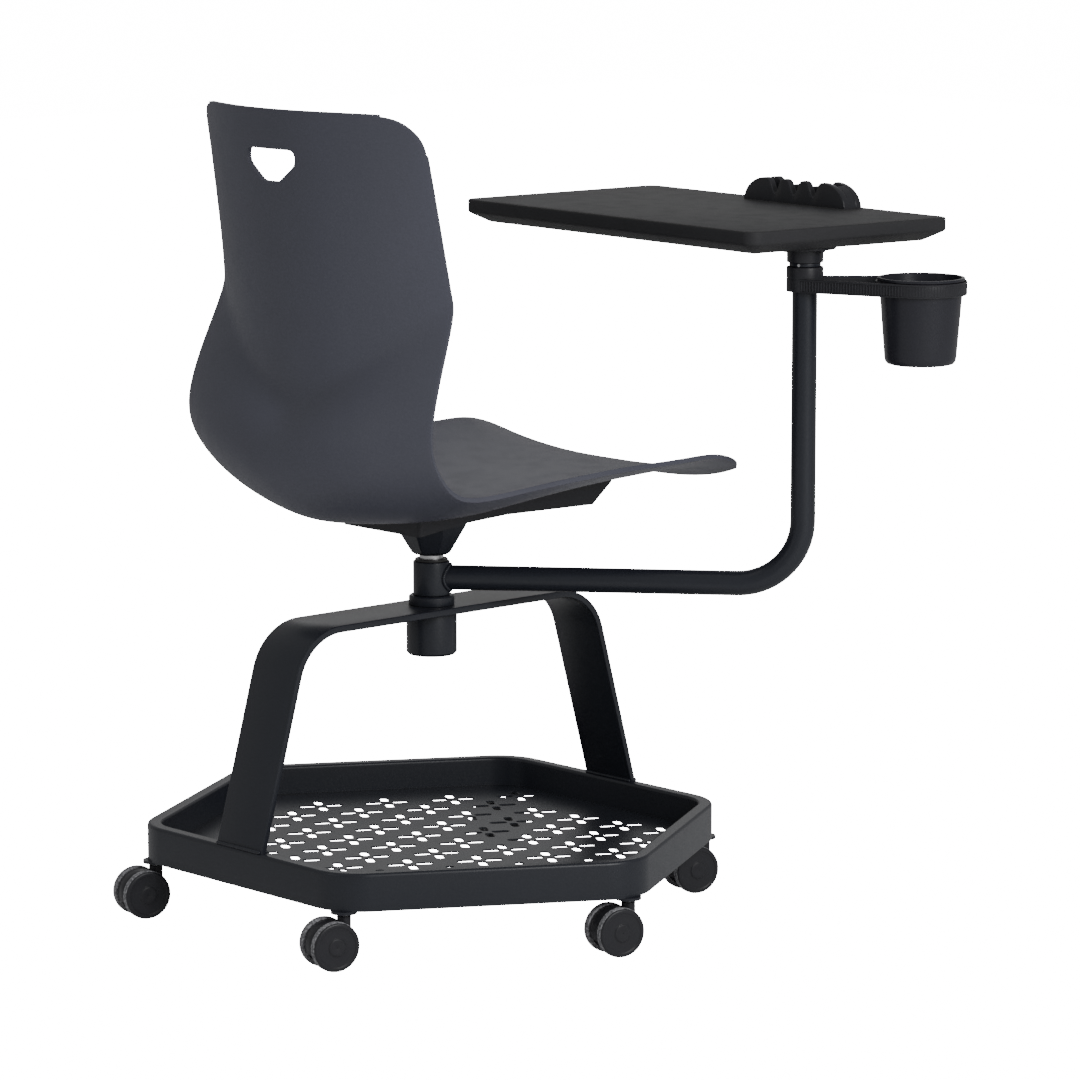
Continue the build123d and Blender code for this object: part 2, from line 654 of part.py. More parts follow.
grip = Polygon((-handle_half, handle_top_z), (-handle_half, handle_knee_z),
               (-handle_bottom_half, handle_bottom_z), (handle_bottom_half, handle_bottom_z),
               (handle_half, handle_knee_z), (handle_half, handle_top_z), align=None)
grip = fillet(grip.vertices().group_by(Axis.Y)[-1], handle_top_r)
grip = fillet([v for v in grip.vertices() if abs(v.Y - handle_knee_z) < 0.01], handle_knee_r)
grip = fillet(grip.vertices().group_by(Axis.Y)[0], handle_bottom_r)
shell -= Pos(0, back_rows[-1][0], 0) * extrude(Plane.XZ * grip, 60, both=True)

# ---------------------------------------------------------------- seat support, hub and spindle
fine_grid, fine_normals = shell_grid(4.0, 49)
fine_low = fine_grid - fine_normals * shell_thick / 2
pan_points = fine_low[fine_grid[:, 24, 1] < support_rear_y + 45]


def pan_height(x, y):
    """Height of the seat pan's underside over a place."""
    near = pan_points.reshape(-1, 3)
    return float(near[np.argmin((near[:, 0] - x) ** 2 + (near[:, 1] - y) ** 2), 2])


pan_share = slice(0, int(np.argmax(grid[:, 8, 1] > support_rear_y + 25)) + 1)
pan_skin = skin((grid - normals * (shell_thick / 2 + seat_gap))[pan_share, 3:-3])
over_pan = extrude(pan_skin, 120, dir=(0, 0, 1))
support_cut_z = support_front_z + 75
support_side = Polygon((support_rear_y, support_bottom_z), (support_rear_y - 60, support_front_z - 1),
                       (support_rear_y - 118, support_front_z + 2), (support_front_y, support_front_z),
                       (support_front_y - support_nose, support_front_z + 24),
                       (support_front_y - support_nose, support_cut_z), (support_rear_y, support_cut_z), align=None)
support = extrude(Plane.YZ * support_side, support_half_width, both=True)
support = fillet(support.edges().filter_by(Axis.Z), 5.0)
hollow = extrude(Plane.YZ * offset(support_side, -support_wall), support_half_width - support_wall, both=True)


def octagon(half, z):
    """An octagon with flats at half from the centre, facing the sides, the front and the diagonals."""
    return Pos(0, 0, z) * RegularPolygon(half, 8, major_radius=False, rotation=22.5)


hub_foot_z = hub_bottom_z + 3
hub = loft([octagon(hub_foot_half, hub_bottom_z), octagon(hub_bottom_half, hub_foot_z)])
hub += loft([octagon(hub_bottom_half, hub_foot_z), octagon(hub_top_half, hub_top_z)])
hub += extrude(octagon(hub_top_half, hub_top_z), hub_plate)
hollow -= extrude(octagon(hub_top_half + 2 * support_wall, shell_low_z), hub_top_z + 2 * hub_plate - shell_low_z)
spindle_top_z = hub_top_z - 2
keep("seat_hub", hub - disc(spindle_d + 2 * run_gap, hub_bottom_z - 1, spindle_top_z))
spindle = disc(spindle_d, spindle_low_z, spindle_top_z)
spindle = chamfer(spindle.edges().group_by(Axis.Z)[0], 1.5)
keep("spindle", spindle - ring(spindle_d + 2, groove_d, lower_bearing_z - circlip, lower_bearing_z - face_gap))

seat_screw_d = 6.0
seat_head_d = 12.0
seat_head = 4.0
seat_bite = 3.0
seat_boss_d = 20.0
head_z = support_front_z + 5
seat_screws, screw_holes = [], []
for x in (-44, 44):
    for y in (48, -128):
        top = pan_height(x, y) + seat_bite
        seat_screws.append(disc(seat_screw_d, head_z, top, x, y) + disc(seat_head_d, head_z - seat_head, head_z, x, y))
        screw_holes.append(disc(seat_screw_d, shell_low_z, top, x, y))
        screw_holes.append(disc(seat_head_d + 2 * seat_gap, shell_low_z, head_z, x, y))
        hollow -= disc(seat_boss_d, shell_low_z, top, x, y)
        shell -= disc(seat_screw_d, shell_low_z, top, x, y)
support = support - hollow - over_pan - hub - screw_holes
keep("seat_screws", *seat_screws)
keep("seat_support", support.solids().sort_by(SortBy.VOLUME)[-1])
keep("seat_shell", shell)

os.makedirs("parts", exist_ok=True)
for name, shape in parts.items():
    export_step(shape, f"parts/{name}.step")
print(len(parts), "nodes")
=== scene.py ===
# %% [markdown]
# # A student's chair on casters
# This lesson takes a measured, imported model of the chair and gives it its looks. The plain solids of the
# model are called nodes. A node whose shape is already right keeps it and gets a better finish. A node
# whose edges, ribs or curves need more care is replaced by a piece made here, which rides on the same
# moving body. Sizes are worked out in millimetres, as on a drawing, and turned into metres at the end.

import json
import math

import bmesh
import bpy
import numpy as np
from mathutils import Matrix, Vector


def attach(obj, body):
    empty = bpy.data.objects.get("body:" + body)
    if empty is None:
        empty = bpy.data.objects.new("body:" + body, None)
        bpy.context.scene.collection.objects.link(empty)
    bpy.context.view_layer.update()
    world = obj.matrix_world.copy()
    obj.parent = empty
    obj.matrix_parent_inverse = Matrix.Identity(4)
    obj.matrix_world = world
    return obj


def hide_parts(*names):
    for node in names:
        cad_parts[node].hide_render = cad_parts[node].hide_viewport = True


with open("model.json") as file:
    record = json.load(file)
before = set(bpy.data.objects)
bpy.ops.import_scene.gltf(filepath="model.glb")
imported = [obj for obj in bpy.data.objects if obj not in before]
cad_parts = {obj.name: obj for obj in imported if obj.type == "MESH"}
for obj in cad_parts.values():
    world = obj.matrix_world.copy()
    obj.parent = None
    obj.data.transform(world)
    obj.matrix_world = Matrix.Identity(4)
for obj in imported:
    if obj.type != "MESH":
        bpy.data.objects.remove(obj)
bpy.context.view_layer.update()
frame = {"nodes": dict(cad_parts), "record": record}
nodes = frame["nodes"]
MM = 0.001

# %% [markdown]
# ## The studio
# The chair stands on a plain pale floor under soft lamps. A long lens from about five metres keeps the
# upright lines nearly parallel, as in a catalogue. The camera stands behind the chair, to its right. The
# room looks white to the camera but lights the chair softly, so the dark finishes stay dark.

# %% Putting a thing in the scene
def shown(name, data):
    """A new object that holds the data, put in the scene."""
    thing = bpy.data.objects.new(name, data)
    bpy.context.scene.collection.objects.link(thing)
    return thing


# %% Camera
eye = Vector((-3.696, 3.2358, 1.179))
gaze = Vector((0.7277, -0.6668, -0.16074))
lens = bpy.data.cameras.new("catalogue_lens")
lens.lens = 162
lens.sensor_width = 36
camera = shown("camera", lens)
camera.location = eye
camera.rotation_euler = gaze.to_track_quat("-Z", "Y").to_euler()
bpy.context.scene.camera = camera
print("camera at", tuple(round(c, 2) for c in eye))

# %% Lamps
lamp_target = Vector((0, 0, 0.45))
room_light, backdrop_white = 0.33, 20.0


def soft_lamp(name, place, size, watts):
    """A square soft box that points at the chair."""
    lamp = bpy.data.lights.new(name, "AREA")
    lamp.shape = "SQUARE"
    lamp.size = size
    lamp.energy = watts
    holder = shown(name, lamp)
    holder.location = place
    holder.rotation_euler = (lamp_target - Vector(place)).to_track_quat("-Z", "Y").to_euler()
    print(name, watts, "W")


soft_lamp("overhead_box", (0.3, 0.3, 3.2), 2.4, 7)
soft_lamp("right_box", (-3.4, 0.2, 1.9), 1.6, 66)
soft_lamp("left_box", (0.6, 3.2, 1.5), 1.4, 4)
soft_lamp("back_box", (2.4, -2.4, 2.2), 2.0, 8)

world = bpy.data.worlds.new("pale_room")
world.use_nodes = True
room = world.node_tree
soft = room.nodes["Background"]
soft.inputs["Color"].default_value = (1, 1, 1, 1)
soft.inputs["Strength"].default_value = room_light
white = room.nodes.new("ShaderNodeBackground")
white.inputs["Strength"].default_value = backdrop_white
seen = room.nodes.new("ShaderNodeLightPath")
either = room.nodes.new("ShaderNodeMixShader")
room.links.new(seen.outputs["Is Camera Ray"], either.inputs[0])
room.links.new(soft.outputs[0], either.inputs[1])
room.links.new(white.outputs[0], either.inputs[2])
room.links.new(either.outputs[0], room.nodes["World Output"].inputs[0])
bpy.context.scene.world = world

# %% [markdown]
# ## Writing shader maths as plain expressions
# A material is a graph of nodes. Wiring each sum by hand hides what it means, so a small class wraps a
# socket and turns Python's own operators into Math nodes. A second small class holds one material, and
# its one method adds any other node: settings first, then the values or links of its sockets.


# %% Wire and Finish
class Wire:
    """A socket of a material's graph. Sums and products of wires add their Math nodes."""

    def __init__(self, finish, socket):
        self.finish = finish
        self.socket = socket

    def maths(self, operation, first, second):
        return self.finish.node("ShaderNodeMath", {"operation": operation}, {0: first, 1: second})

    def __add__(self, other):
        return self.maths("ADD", self, other)

    def __sub__(self, other):
        return self.maths("SUBTRACT", self, other)

    def __mul__(self, other):
        return self.maths("MULTIPLY", self, other)

    __radd__ = __add__
    __rmul__ = __mul__


class Finish:
    """One material, its surface shader and the nodes that feed it."""

    def __init__(self, name, **uniform):
        self.material = bpy.data.materials.new(name)
        self.material.use_nodes = True
        self.tree = self.material.node_tree
        self.tree.nodes.clear()
        output = self.tree.nodes.new("ShaderNodeOutputMaterial")
        self.shader = self.tree.nodes.new("ShaderNodeBsdfPrincipled")
        self.tree.links.new(self.shader.outputs[0], output.inputs[0])
        for socket, value in uniform.items():
            self.shader.inputs[socket.replace("_", " ")].default_value = value
        self.place = self.node("ShaderNodeTexCoord", out="Object")

    def join(self, socket, value):
        if isinstance(value, Wire):
            self.tree.links.new(value.socket, socket)
        else:
            socket.default_value = value

    def node(self, kind, settings=(), sockets=(), out=0):
        """Adds a node of any kind: its settings, then its sockets by name or number."""
        node = self.tree.nodes.new(kind)
        for key, value in dict(settings).items():
            if key == "stops":
                ramp = node.color_ramp.elements
                for element, (at, shade) in zip((ramp[0], ramp[1]), value):
                    element.position = at
                    element.color = (shade, shade, shade, 1)
            else:
                setattr(node, key, value)
        for key, value in dict(sockets).items():
            self.join(node.inputs[key], value)
        return Wire(self, node.outputs[out])

    def noise(self, size_mm, detail=3.0, stretch=(1, 1, 1)):
        """Cloudy noise whose blotches are about size_mm across."""
        where = self.node("ShaderNodeMapping", {}, {"Vector": self.place, "Scale": stretch})
        return self.node("ShaderNodeTexNoise", {}, {"Vector": where, "Scale": 1000 / size_mm, "Detail": detail})

    def grains(self, size_mm):
        """The distance to the nearest of many scattered points, size_mm apart."""
        return self.node("ShaderNodeTexVoronoi", {}, {"Vector": self.place, "Scale": 1000 / size_mm})

    def steps(self, value, low, high):
        """A soft switch from 0 below low to 1 above high."""
        return self.node("ShaderNodeValToRGB", {"stops": ((low, 0.0), (high, 1.0))}, {"Fac": value})

    def blend(self, share, first, second):
        """A colour between two colours."""
        return self.node("ShaderNodeMix", {"data_type": "RGBA"},
                         {"Factor": share, 6: (*first, 1), 7: (*second, 1)}, out=2)

    def relief(self, height, depth_mm, under=None):
        """A bump of depth_mm, over another one if it is given."""
        sockets = {"Height": height, "Distance": depth_mm * MM, "Strength": 1.0}
        if under is not None:
            sockets["Normal"] = under
        return self.node("ShaderNodeBump", {}, sockets)

    def wear(self, **sockets):
        for socket, value in sockets.items():
            self.join(self.shader.inputs[socket.replace("_", " ")], value)
        return self.material


# %% [markdown]
# ## The finishes
# Everything on this chair is near black, so the finishes differ in grain and gloss more than in colour.
# Moulded parts have a spark-eroded grain about half a millimetre across. The steel is powder coated: the
# powder melts into a faint orange peel that is smooth to the hand but breaks up reflections.


# %% Moulded plastics
def shade(colour, share):
    """A lighter or darker version of a colour."""
    return tuple(c * share for c in colour)


def moulded(name, colour, roughness, grain_mm, depth_mm, mottle=0.1):
    """A moulding with an eroded grain, slight flow marks and uneven gloss."""
    finish = Finish(name, Specular_IOR_Level=0.28)
    flow = finish.noise(90, 2.0, (1, 1, 0.4))
    pits = finish.grains(grain_mm)
    scuffs_and_sheen = finish.steps(finish.noise(22, 5.0), 0.45, 0.75)
    fine = finish.relief(pits, depth_mm)
    return finish.wear(Base_Color=finish.blend(flow, shade(colour, 1 - mottle), shade(colour, 1 + mottle)),
                       Roughness=roughness + 0.06 * scuffs_and_sheen - 0.05 * pits,
                       Normal=finish.relief(finish.noise(grain_mm * 3, 4.0), depth_mm, fine))


shell_plastic = moulded("charcoal_shell_plastic", (0.088, 0.090, 0.116), 0.5, 0.55, 0.035)
top_plastic = moulded("charcoal_tabletop_plastic", (0.030, 0.030, 0.033), 0.66, 0.7, 0.05)
satin_plastic = moulded("satin_black_plastic", (0.028, 0.028, 0.033), 0.36, 0.4, 0.02)
cup_plastic = moulded("cup_black_plastic", (0.026, 0.026, 0.034), 0.30, 0.35, 0.012)
bush_plastic = moulded("bush_plastic", (0.03, 0.03, 0.03), 0.42, 0.4, 0.01)
print("moulded plastics made")


# %% Powder coat, treads and steels
def powder_coat(name, colour, roughness):
    finish = Finish(name, Specular_IOR_Level=0.36, Coat_Roughness=0.22)
    peel = finish.relief(finish.noise(3.2, 2.0), 0.035)
    dust = finish.noise(140, 3.0)
    fine = finish.relief(finish.noise(0.5, 2.0), 0.008, peel)
    return finish.wear(Base_Color=finish.blend(dust, shade(colour, 0.9), shade(colour, 1.12)),
                       Roughness=roughness + 0.07 * finish.noise(35, 4.0), Coat_Weight=0.15, Normal=fine)


def tread_rubber(name):
    finish = Finish(name, Specular_IOR_Level=0.4)
    # Tread colour: the darker grey is the tread's own colour, and the lighter grey speckles from this mask are
    # painted glints off the knurled tread. In the roughness the same mask gives real scuffs.
    scuffs_and_sheen = finish.steps(finish.noise(2.4, 6.0), 0.42, 0.62)
    return finish.wear(Base_Color=finish.blend(scuffs_and_sheen, (0.13, 0.13, 0.14), (0.36, 0.36, 0.38)),
                       Roughness=0.45 + 0.2 * scuffs_and_sheen, Normal=finish.relief(finish.noise(0.9, 3.0), 0.1))


def plated_steel(name, colour, roughness):
    finish = Finish(name, Metallic=1.0)
    brushed = finish.noise(0.5, 4.0, (1, 1, 0.08))
    stains = finish.noise(6, 3.0)
    return finish.wear(Base_Color=finish.blend(stains, shade(colour, 0.8), colour),
                       Roughness=roughness + 0.15 * brushed, Normal=finish.relief(brushed, 0.004))


black_coat = powder_coat("black_powder_coat", (0.017, 0.019, 0.027), 0.36)
tread_grey = tread_rubber("grey_tread_rubber")
zinc_steel = plated_steel("zinc_plated_steel", (0.62, 0.62, 0.63), 0.22)
dark_steel = plated_steel("blackened_steel", (0.06, 0.06, 0.065), 0.35)
finishes = {"black_powder_coat": black_coat, "charcoal_shell": shell_plastic, "charcoal_tabletop": top_plastic,
            "black_moulding": satin_plastic, "black_cup": cup_plastic, "grey_tread": tread_grey,
            "bearing_plastic": bush_plastic, "bright_steel": zinc_steel, "dark_steel": dark_steel}
slot_of = {part["node"]: part["material_slot"] for part in frame["record"]["subparts"]}
for name, node in nodes.items():
    for slot in node.material_slots:
        slot.material = finishes[slot_of[name]]
print(len(finishes), "finishes on", len(nodes), "nodes")


# %% The floor
def pale_floor(half=9):
    """A floor that the camera sees as white, but that only gives the chair soft bounced light."""
    finish = Finish("pale_floor", Specular_IOR_Level=0.2, Emission_Strength=backdrop_white)
    seen = finish.node("ShaderNodeLightPath", out="Is Camera Ray")
    mesh = bpy.data.meshes.new("studio_floor")
    corners = [(-half, -half, 0), (half, -half, 0), (half, half, 0), (-half, half, 0)]
    mesh.from_pydata(corners, [], [(0, 1, 2, 3)])
    mesh.materials.append(finish.wear(Base_Color=(0.9, 0.9, 0.9, 1), Roughness=0.7, Emission_Color=seen))
    shown("studio_floor", mesh)


pale_floor()

# %% [markdown]
# ## Tools for making pieces
# Nearly every piece here is a skin over a row of loops: a turned part is a skin over circles, a tube over
# the sections along its path, a tabletop over its outline drawn in by different amounts. One function
# builds them all, so its faces always point outwards when the loops run anticlockwise.


# %% Skins over loops
def skinned(loops, closed=False, capped=True):
    """Points and faces over loops of equal count. Closed joins the last loop to the first."""
    count, rows = len(loops[0]), len(loops)
    points = [tuple(p) for loop in loops for p in loop]
    faces = []
    for i in range(rows if closed else rows - 1):
        a, b = i * count, (i + 1) % rows * count
        faces += [(a + k, a + (k + 1) % count, b + (k + 1) % count, b + k) for k in range(count)]
    if capped and not closed:
        faces.append(tuple(range(count - 1, -1, -1)))
        faces.append(tuple(range((rows - 1) * count, rows * count)))
    return points, faces


def circle(radius, height, x=0.0, y=0.0, steps=96):
    turns = [2 * math.pi * k / steps for k in range(steps)]
    return [(x + radius * math.cos(a), y + radius * math.sin(a), height) for a in turns]


def turned(profile, x=0.0, y=0.0, closed=False, steps=96):
    """A turned part: the profile lists radius and height, up the outside first."""
    return skinned([circle(r, z, x, y, steps) for r, z in profile], closed)


nearly_straight, most_of_edge = math.radians(172), 0.48


def softened(profile, radius, steps=4, closed=False):
    """The same profile with every corner rounded, or all but the two ends when it is open."""
    result = []
    count = len(profile)
    radii = radius if isinstance(radius, list) else [radius] * count
    for i, corner in enumerate(profile):
        if not closed and i in (0, count - 1):
            result.append(corner)
            continue
        here = Vector(corner)
        before, after = Vector(profile[i - 1]) - here, Vector(profile[(i + 1) % count]) - here
        angle = before.angle(after)
        if angle > nearly_straight:
            result.append(corner)
            continue
        reach = min(radii[i] / math.tan(angle / 2), before.length * most_of_edge, after.length * most_of_edge)
        centre_way = before.normalized() + after.normalized()
        centre = here + centre_way.normalized() * reach / math.cos(angle / 2)
        start, end = here + before.normalized() * reach - centre, here + after.normalized() * reach - centre
        sweep = start.angle_signed(end)
        for k in range(steps + 1):
            turn = Matrix.Rotation(-sweep * k / steps, 2)
            result.append(tuple(centre + turn @ start))
    return result


# %% [markdown]
# Each finished piece sits at the origin with its place in its mesh, rides on one body and hides the plain node
# that it stands for.


# %% Making, settling and handing over a piece
def made(name, points, faces, finish, smooth=30, place=None):
    """A mesh object from points in millimetres."""
    mesh = bpy.data.meshes.new(name)
    where = place or Matrix.Identity(4)
    mesh.from_pydata([tuple(c * MM for c in where @ Vector(p)) for p in points], [], faces)
    mesh.materials.append(finish)
    mesh.shade_smooth()
    mesh.set_sharp_from_angle(angle=math.radians(smooth))
    return shown(name, mesh)


def settled(piece, smooth=30):
    """Turns the modifiers' result into the piece's own mesh."""
    graph = bpy.context.evaluated_depsgraph_get()
    mesh = bpy.data.meshes.new_from_object(piece.evaluated_get(graph))
    piece.modifiers.clear()
    piece.data = mesh
    mesh.shade_smooth()
    mesh.set_sharp_from_angle(angle=math.radians(smooth))
    return piece


def rounded_edges(piece, width_mm, segments=3, angle=35, smooth=30):
    bevel = piece.modifiers.new("edge_rounding", "BEVEL")
    bevel.width = width_mm * MM
    bevel.segments = segments
    bevel.limit_method = "ANGLE"
    bevel.angle_limit = math.radians(angle)
    bevel.use_clamp_overlap = True
    return settled(piece, smooth)


def handed_over(piece, body, *stands_for, slot=None):
    """Rides the piece on its body and hides the nodes it stands for."""
    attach(piece, body)
    if stands_for:
        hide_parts(*stands_for)
    print(piece.name, len(piece.data.polygons), "faces on", body)
    return piece


def joined(parts):
    """One list of points and faces from several."""
    points, faces = [], []
    for more_points, more_faces in parts:
        shift = len(points)
        points += more_points
        faces += [tuple(i + shift for i in face) for face in more_faces]
    return points, faces


def moved(part, matrix):
    points, faces = part
    return [tuple(matrix @ Vector(p)) for p in points], faces


# %% [markdown]
# ## The shell
# The shell is one sheet of plastic, 5 mm thick. Its shape follows a rule: rows run from the front lip down
# through the seat, round the bend and up the back, and each row is a curve that dips in the middle. Where
# seat and back meet, the rows change slope at once, which draws the V that shows from behind. Row by row
# evaluation gives a clean grid, and a modifier thickens it.

# %% Rows of the shell
# Each row holds y and z of its middle, y and z of its sides, and its half-width.
bend_row = (183.5, 532, 122.5, 637, 175.8)
pan_rows = [
    (-290, 426, -262, 451, 184), (-264, 435, -238, 461, 190), (-195, 438, -178, 465, 192),
    (-110, 432, -100, 464, 192), (-20, 422, -18, 460, 190), (60, 413, 50, 455, 188),
    (130, 414, 112, 453, 186), (184, 434, 142, 469, 185), (211, 474, 162, 504, 187),
    (207, 507, 158, 549, 186), bend_row]
back_rows = [bend_row, (192, 609, 130, 689, 171.4), (202, 709, 141, 754, 167.9), (211, 831, 156, 827.5, 165.4)]
shell_thick = 5.0
crease_reach, crease_round = 16.0, 0.13
crease_from, crease_over = 0.55, 0.3      # shares of the pan's run where the V starts and how long it grows
dish_power, crown_power, plan_power = 2.6, 5, 2.1


def natural_spline(rows, spacing):
    """Points of a natural cubic through the rows, and their run along the centre line."""
    rows = np.array(rows, float)
    run = np.concatenate([[0], np.cumsum(np.hypot(*np.diff(rows[:, :2], axis=0).T))])
    step = np.diff(run)
    count = len(rows)
    matrix, bends = np.eye(count), np.zeros_like(rows)
    for i in range(1, count - 1):
        matrix[i, i - 1:i + 2] = step[i - 1], 2 * (step[i - 1] + step[i]), step[i]
        bends[i] = 6 * ((rows[i + 1] - rows[i]) / step[i] - (rows[i] - rows[i - 1]) / step[i - 1])
    bends = np.linalg.solve(matrix, bends)
    at = np.linspace(0, run[-1], int(run[-1] / spacing) + 1)
    i = np.minimum(np.searchsorted(run, at, side="right") - 1, count - 2)
    a, b, h = (run[i + 1] - at)[:, None], (at - run[i])[:, None], step[i][:, None]
    curve = (bends[i] * a ** 3 + bends[i + 1] * b ** 3) / (6 * h)
    curve += (rows[i] / h - bends[i] * h / 6) * a + (rows[i + 1] / h - bends[i + 1] * h / 6) * b
    return curve, at


pan, pan_run = natural_spline(pan_rows, 4.0)
back, back_run = natural_spline(back_rows, 4.0)
all_rows = np.vstack([pan, back[1:]])
all_run = np.concatenate([pan_run, pan_run[-1] + back_run[1:]])
shell_run = all_run[-1]
print("the shell runs", round(shell_run), "mm from lip to top")


# %% The surface itself
def row_at(run):
    """The row at a run, with the crease between seat and back eased over a short reach."""
    run = np.asarray(run, float)
    weights = np.array([1, 2, 3, 4, 3, 2, 1]) / 16
    blended = np.zeros((len(run), 5))
    for weight, shift in zip(weights, np.arange(-3, 4) * crease_reach / 3):
        place = np.clip(run + shift, 0, shell_run)
        blended += weight * np.array([np.interp(place, all_run, all_rows[:, k]) for k in range(5)]).T
    near_end = np.minimum(run, shell_run - run) < crease_reach
    exact = np.array([np.interp(run, all_run, all_rows[:, k]) for k in range(5)]).T
    blended[near_end] = exact[near_end]
    return blended


def eased(share):
    """A share from 0 to 1 with a soft start and a soft end."""
    share = np.clip(share, 0, 1)
    return share * share * (3 - 2 * share)


def shell_point(run, across):
    """Points of the middle surface at a run and at a share of the half-width, from -1 to 1."""
    row = row_at(run)
    share = eased((run - crease_from * pan_run[-1]) / (crease_over * pan_run[-1]))
    size = np.abs(across)
    whole = math.sqrt(1 + crease_round ** 2) - crease_round
    straight = (np.sqrt(size ** 2 + crease_round ** 2) - crease_round) / whole
    crown = eased((run - pan_run[-1]) / back_run[-1])
    arched = straight * (1 - crown) + size ** crown_power * crown
    lift = size ** dish_power * (1 - share) + arched * share
    x = row[:, 4] * across
    y = row[:, 0] + (row[:, 2] - row[:, 0]) * size ** plan_power
    z = row[:, 1] + (row[:, 3] - row[:, 1]) * lift
    return np.stack([x, y, z], 1)


# %% [markdown]
# The corners are round. Instead of cutting them off, each row is drawn in to where a corner's arc would
# cut it, so the grid stays clean right up to the edge.

# %% Rows drawn in at the corners
top_corner_r, front_corner_r = 36.0, 42.0
front_half, front_edge = 190.0, -276.0
top_corner = (back_rows[-1][4] - top_corner_r, back_rows[-1][3] - top_corner_r)
front_corner = (front_half - front_corner_r, front_edge + front_corner_r)


def reach_of_row(run):
    """The share of a row's half-width that lies inside the rounded corners."""
    across = np.linspace(0.5, 1, 400)
    x, y, z = shell_point(np.full(400, run), across).T
    cut = (x > top_corner[0]) & (z > top_corner[1])
    cut &= np.hypot(x - top_corner[0], z - top_corner[1]) > top_corner_r
    front = (x > front_corner[0]) & (y < front_corner[1])
    front &= np.hypot(x - front_corner[0], y - front_corner[1]) > front_corner_r
    outside = np.nonzero(cut | front)[0]
    return across[outside[0] - 1] if len(outside) else 1.0


end_zone, rows_in_zone, row_step, columns = 62.0, 18, 5.0, 76
start_runs = end_zone * (np.arange(rows_in_zone) / rows_in_zone) ** 1.7
end_runs = shell_run - start_runs[::-1] * 0.7
middle_runs = np.arange(end_zone, end_runs[0] - row_step / 2, row_step)
runs = np.concatenate([start_runs, middle_runs, end_runs])
reaches = np.array([reach_of_row(run) for run in runs])
shares = np.linspace(-1, 1, columns + 1)
grid_run = np.repeat(runs[:, None], columns + 1, 1)
grid_across = reaches[:, None] * shares[None, :]
print(len(runs), "rows of", columns + 1, "points")

# %% [markdown]
# The finger hole near the top is a rounded trapezium. A block of the grid is taken out around it, and
# rings of quads lead from the block's edge to the hole's own outline, so no face is cut across.

# %% The finger hole's outline
hole_corners = [(-12, 759.5), (12, 759.5), (36, 777), (36, 791.5), (-36, 791.5), (-36, 777)]
hole_outline = softened(hole_corners, [12.0, 12.0, 10.0, 7.0, 7.0, 10.0], 6, closed=True)
hole_centre = np.array((0.0, 777.0))
block_half, block_low, block_high = 45, 748, 805
search_run = 140          # how far below the top edge the hole may start


def hole_point(angle):
    """Where a ray from the hole's centre meets its outline."""
    way = np.array((math.cos(angle), math.sin(angle)))
    for p, q in zip(hole_outline, hole_outline[1:] + hole_outline[:1]):
        start, edge = np.array(p) - hole_centre, np.array(q) - np.array(p)
        cross = way[0] * edge[1] - way[1] * edge[0]
        if abs(cross) < 1e-9:
            continue
        along = (start[0] * edge[1] - start[1] * edge[0]) / cross
        share = (start[0] * way[1] - start[1] * way[0]) / cross
        if along > 0 and -1e-6 <= share <= 1 + 1e-6:
            return hole_centre + way * along
    return hole_centre


def run_at(x, z):
    """The run at which the back stands over x at height z."""
    tries = np.linspace(shell_run - search_run, shell_run, 300)
    half = row_at(tries)[:, 4]
    heights = shell_point(tries, x / half)[:, 2]
    return float(np.interp(z, heights, tries))


# %% The shell's grid with the hole
def shell_grid():
    """Points and faces of the middle surface, with the finger hole let in."""
    points = shell_point(grid_run.ravel(), grid_across.ravel()).reshape(*grid_run.shape, 3)
    wanted = np.abs(points[:, :, 0]) < block_half
    wanted &= (points[:, :, 2] > block_low) & (points[:, :, 2] < block_high)
    rows_in, columns_in = np.nonzero(wanted)
    r0, r1, c0, c1 = rows_in.min(), rows_in.max(), columns_in.min(), columns_in.max()
    stride = points.shape[1]
    faces = []
    for i in range(points.shape[0] - 1):
        for k in range(stride - 1):
            if not (r0 <= i < r1 and c0 <= k < c1):
                a, b = i * stride + k, (i + 1) * stride + k
                faces.append((a, a + 1, b + 1, b))
    border = [(r0, k) for k in range(c0, c1)] + [(i, c1) for i in range(r0, r1)]
    border += [(r1, k) for k in range(c1, c0, -1)] + [(i, c0) for i in range(r1, r0, -1)]
    flat = [tuple(p) for p in points.reshape(-1, 3)]
    outer = [i * stride + k for i, k in border]
    start = np.array([(grid_run[i, k], points[i, k, 0]) for i, k in border])
    end = []
    for i, k in border:
        x, z = hole_point(math.atan2(points[i, k, 2] - hole_centre[1], points[i, k, 0]))
        end.append((run_at(x, z), x))
    end = np.array(end)
    last = outer
    for share in (0.35, 0.65, 0.85, 1.0):
        mix = start * (1 - share) + end * share
        half = row_at(mix[:, 0])[:, 4]
        fresh = list(range(len(flat), len(flat) + len(border)))
        flat += [tuple(p) for p in shell_point(mix[:, 0], mix[:, 1] / half)]
        count = len(border)
        faces += [(last[k], last[(k + 1) % count], fresh[(k + 1) % count], fresh[k]) for k in range(count)]
        last = fresh
    return flat, faces


def seat_shell():
    shell = made("shell", *shell_grid(), shell_plastic)
    wall = shell.modifiers.new("wall", "SOLIDIFY")
    wall.thickness = shell_thick * MM
    wall.offset = 0
    wall.use_even_offset = True
    settled(shell)
    rounded_edges(shell, 1.9, 3, 55, 40)
    skin = bmesh.new()
    skin.from_mesh(shell.data)
    bmesh.ops.recalc_face_normals(skin, faces=skin.faces)
    skin.to_mesh(shell.data)
    skin.free()
    return handed_over(shell, "seat", "seat_shell")


seat_shell()

# %% [markdown]
# ## The tabletop
# A thick board with a square edge and a wide bevel beneath. Its outline is drawn once and drawn in by a
# different amount at each height, so the bevel runs truly round the corners.


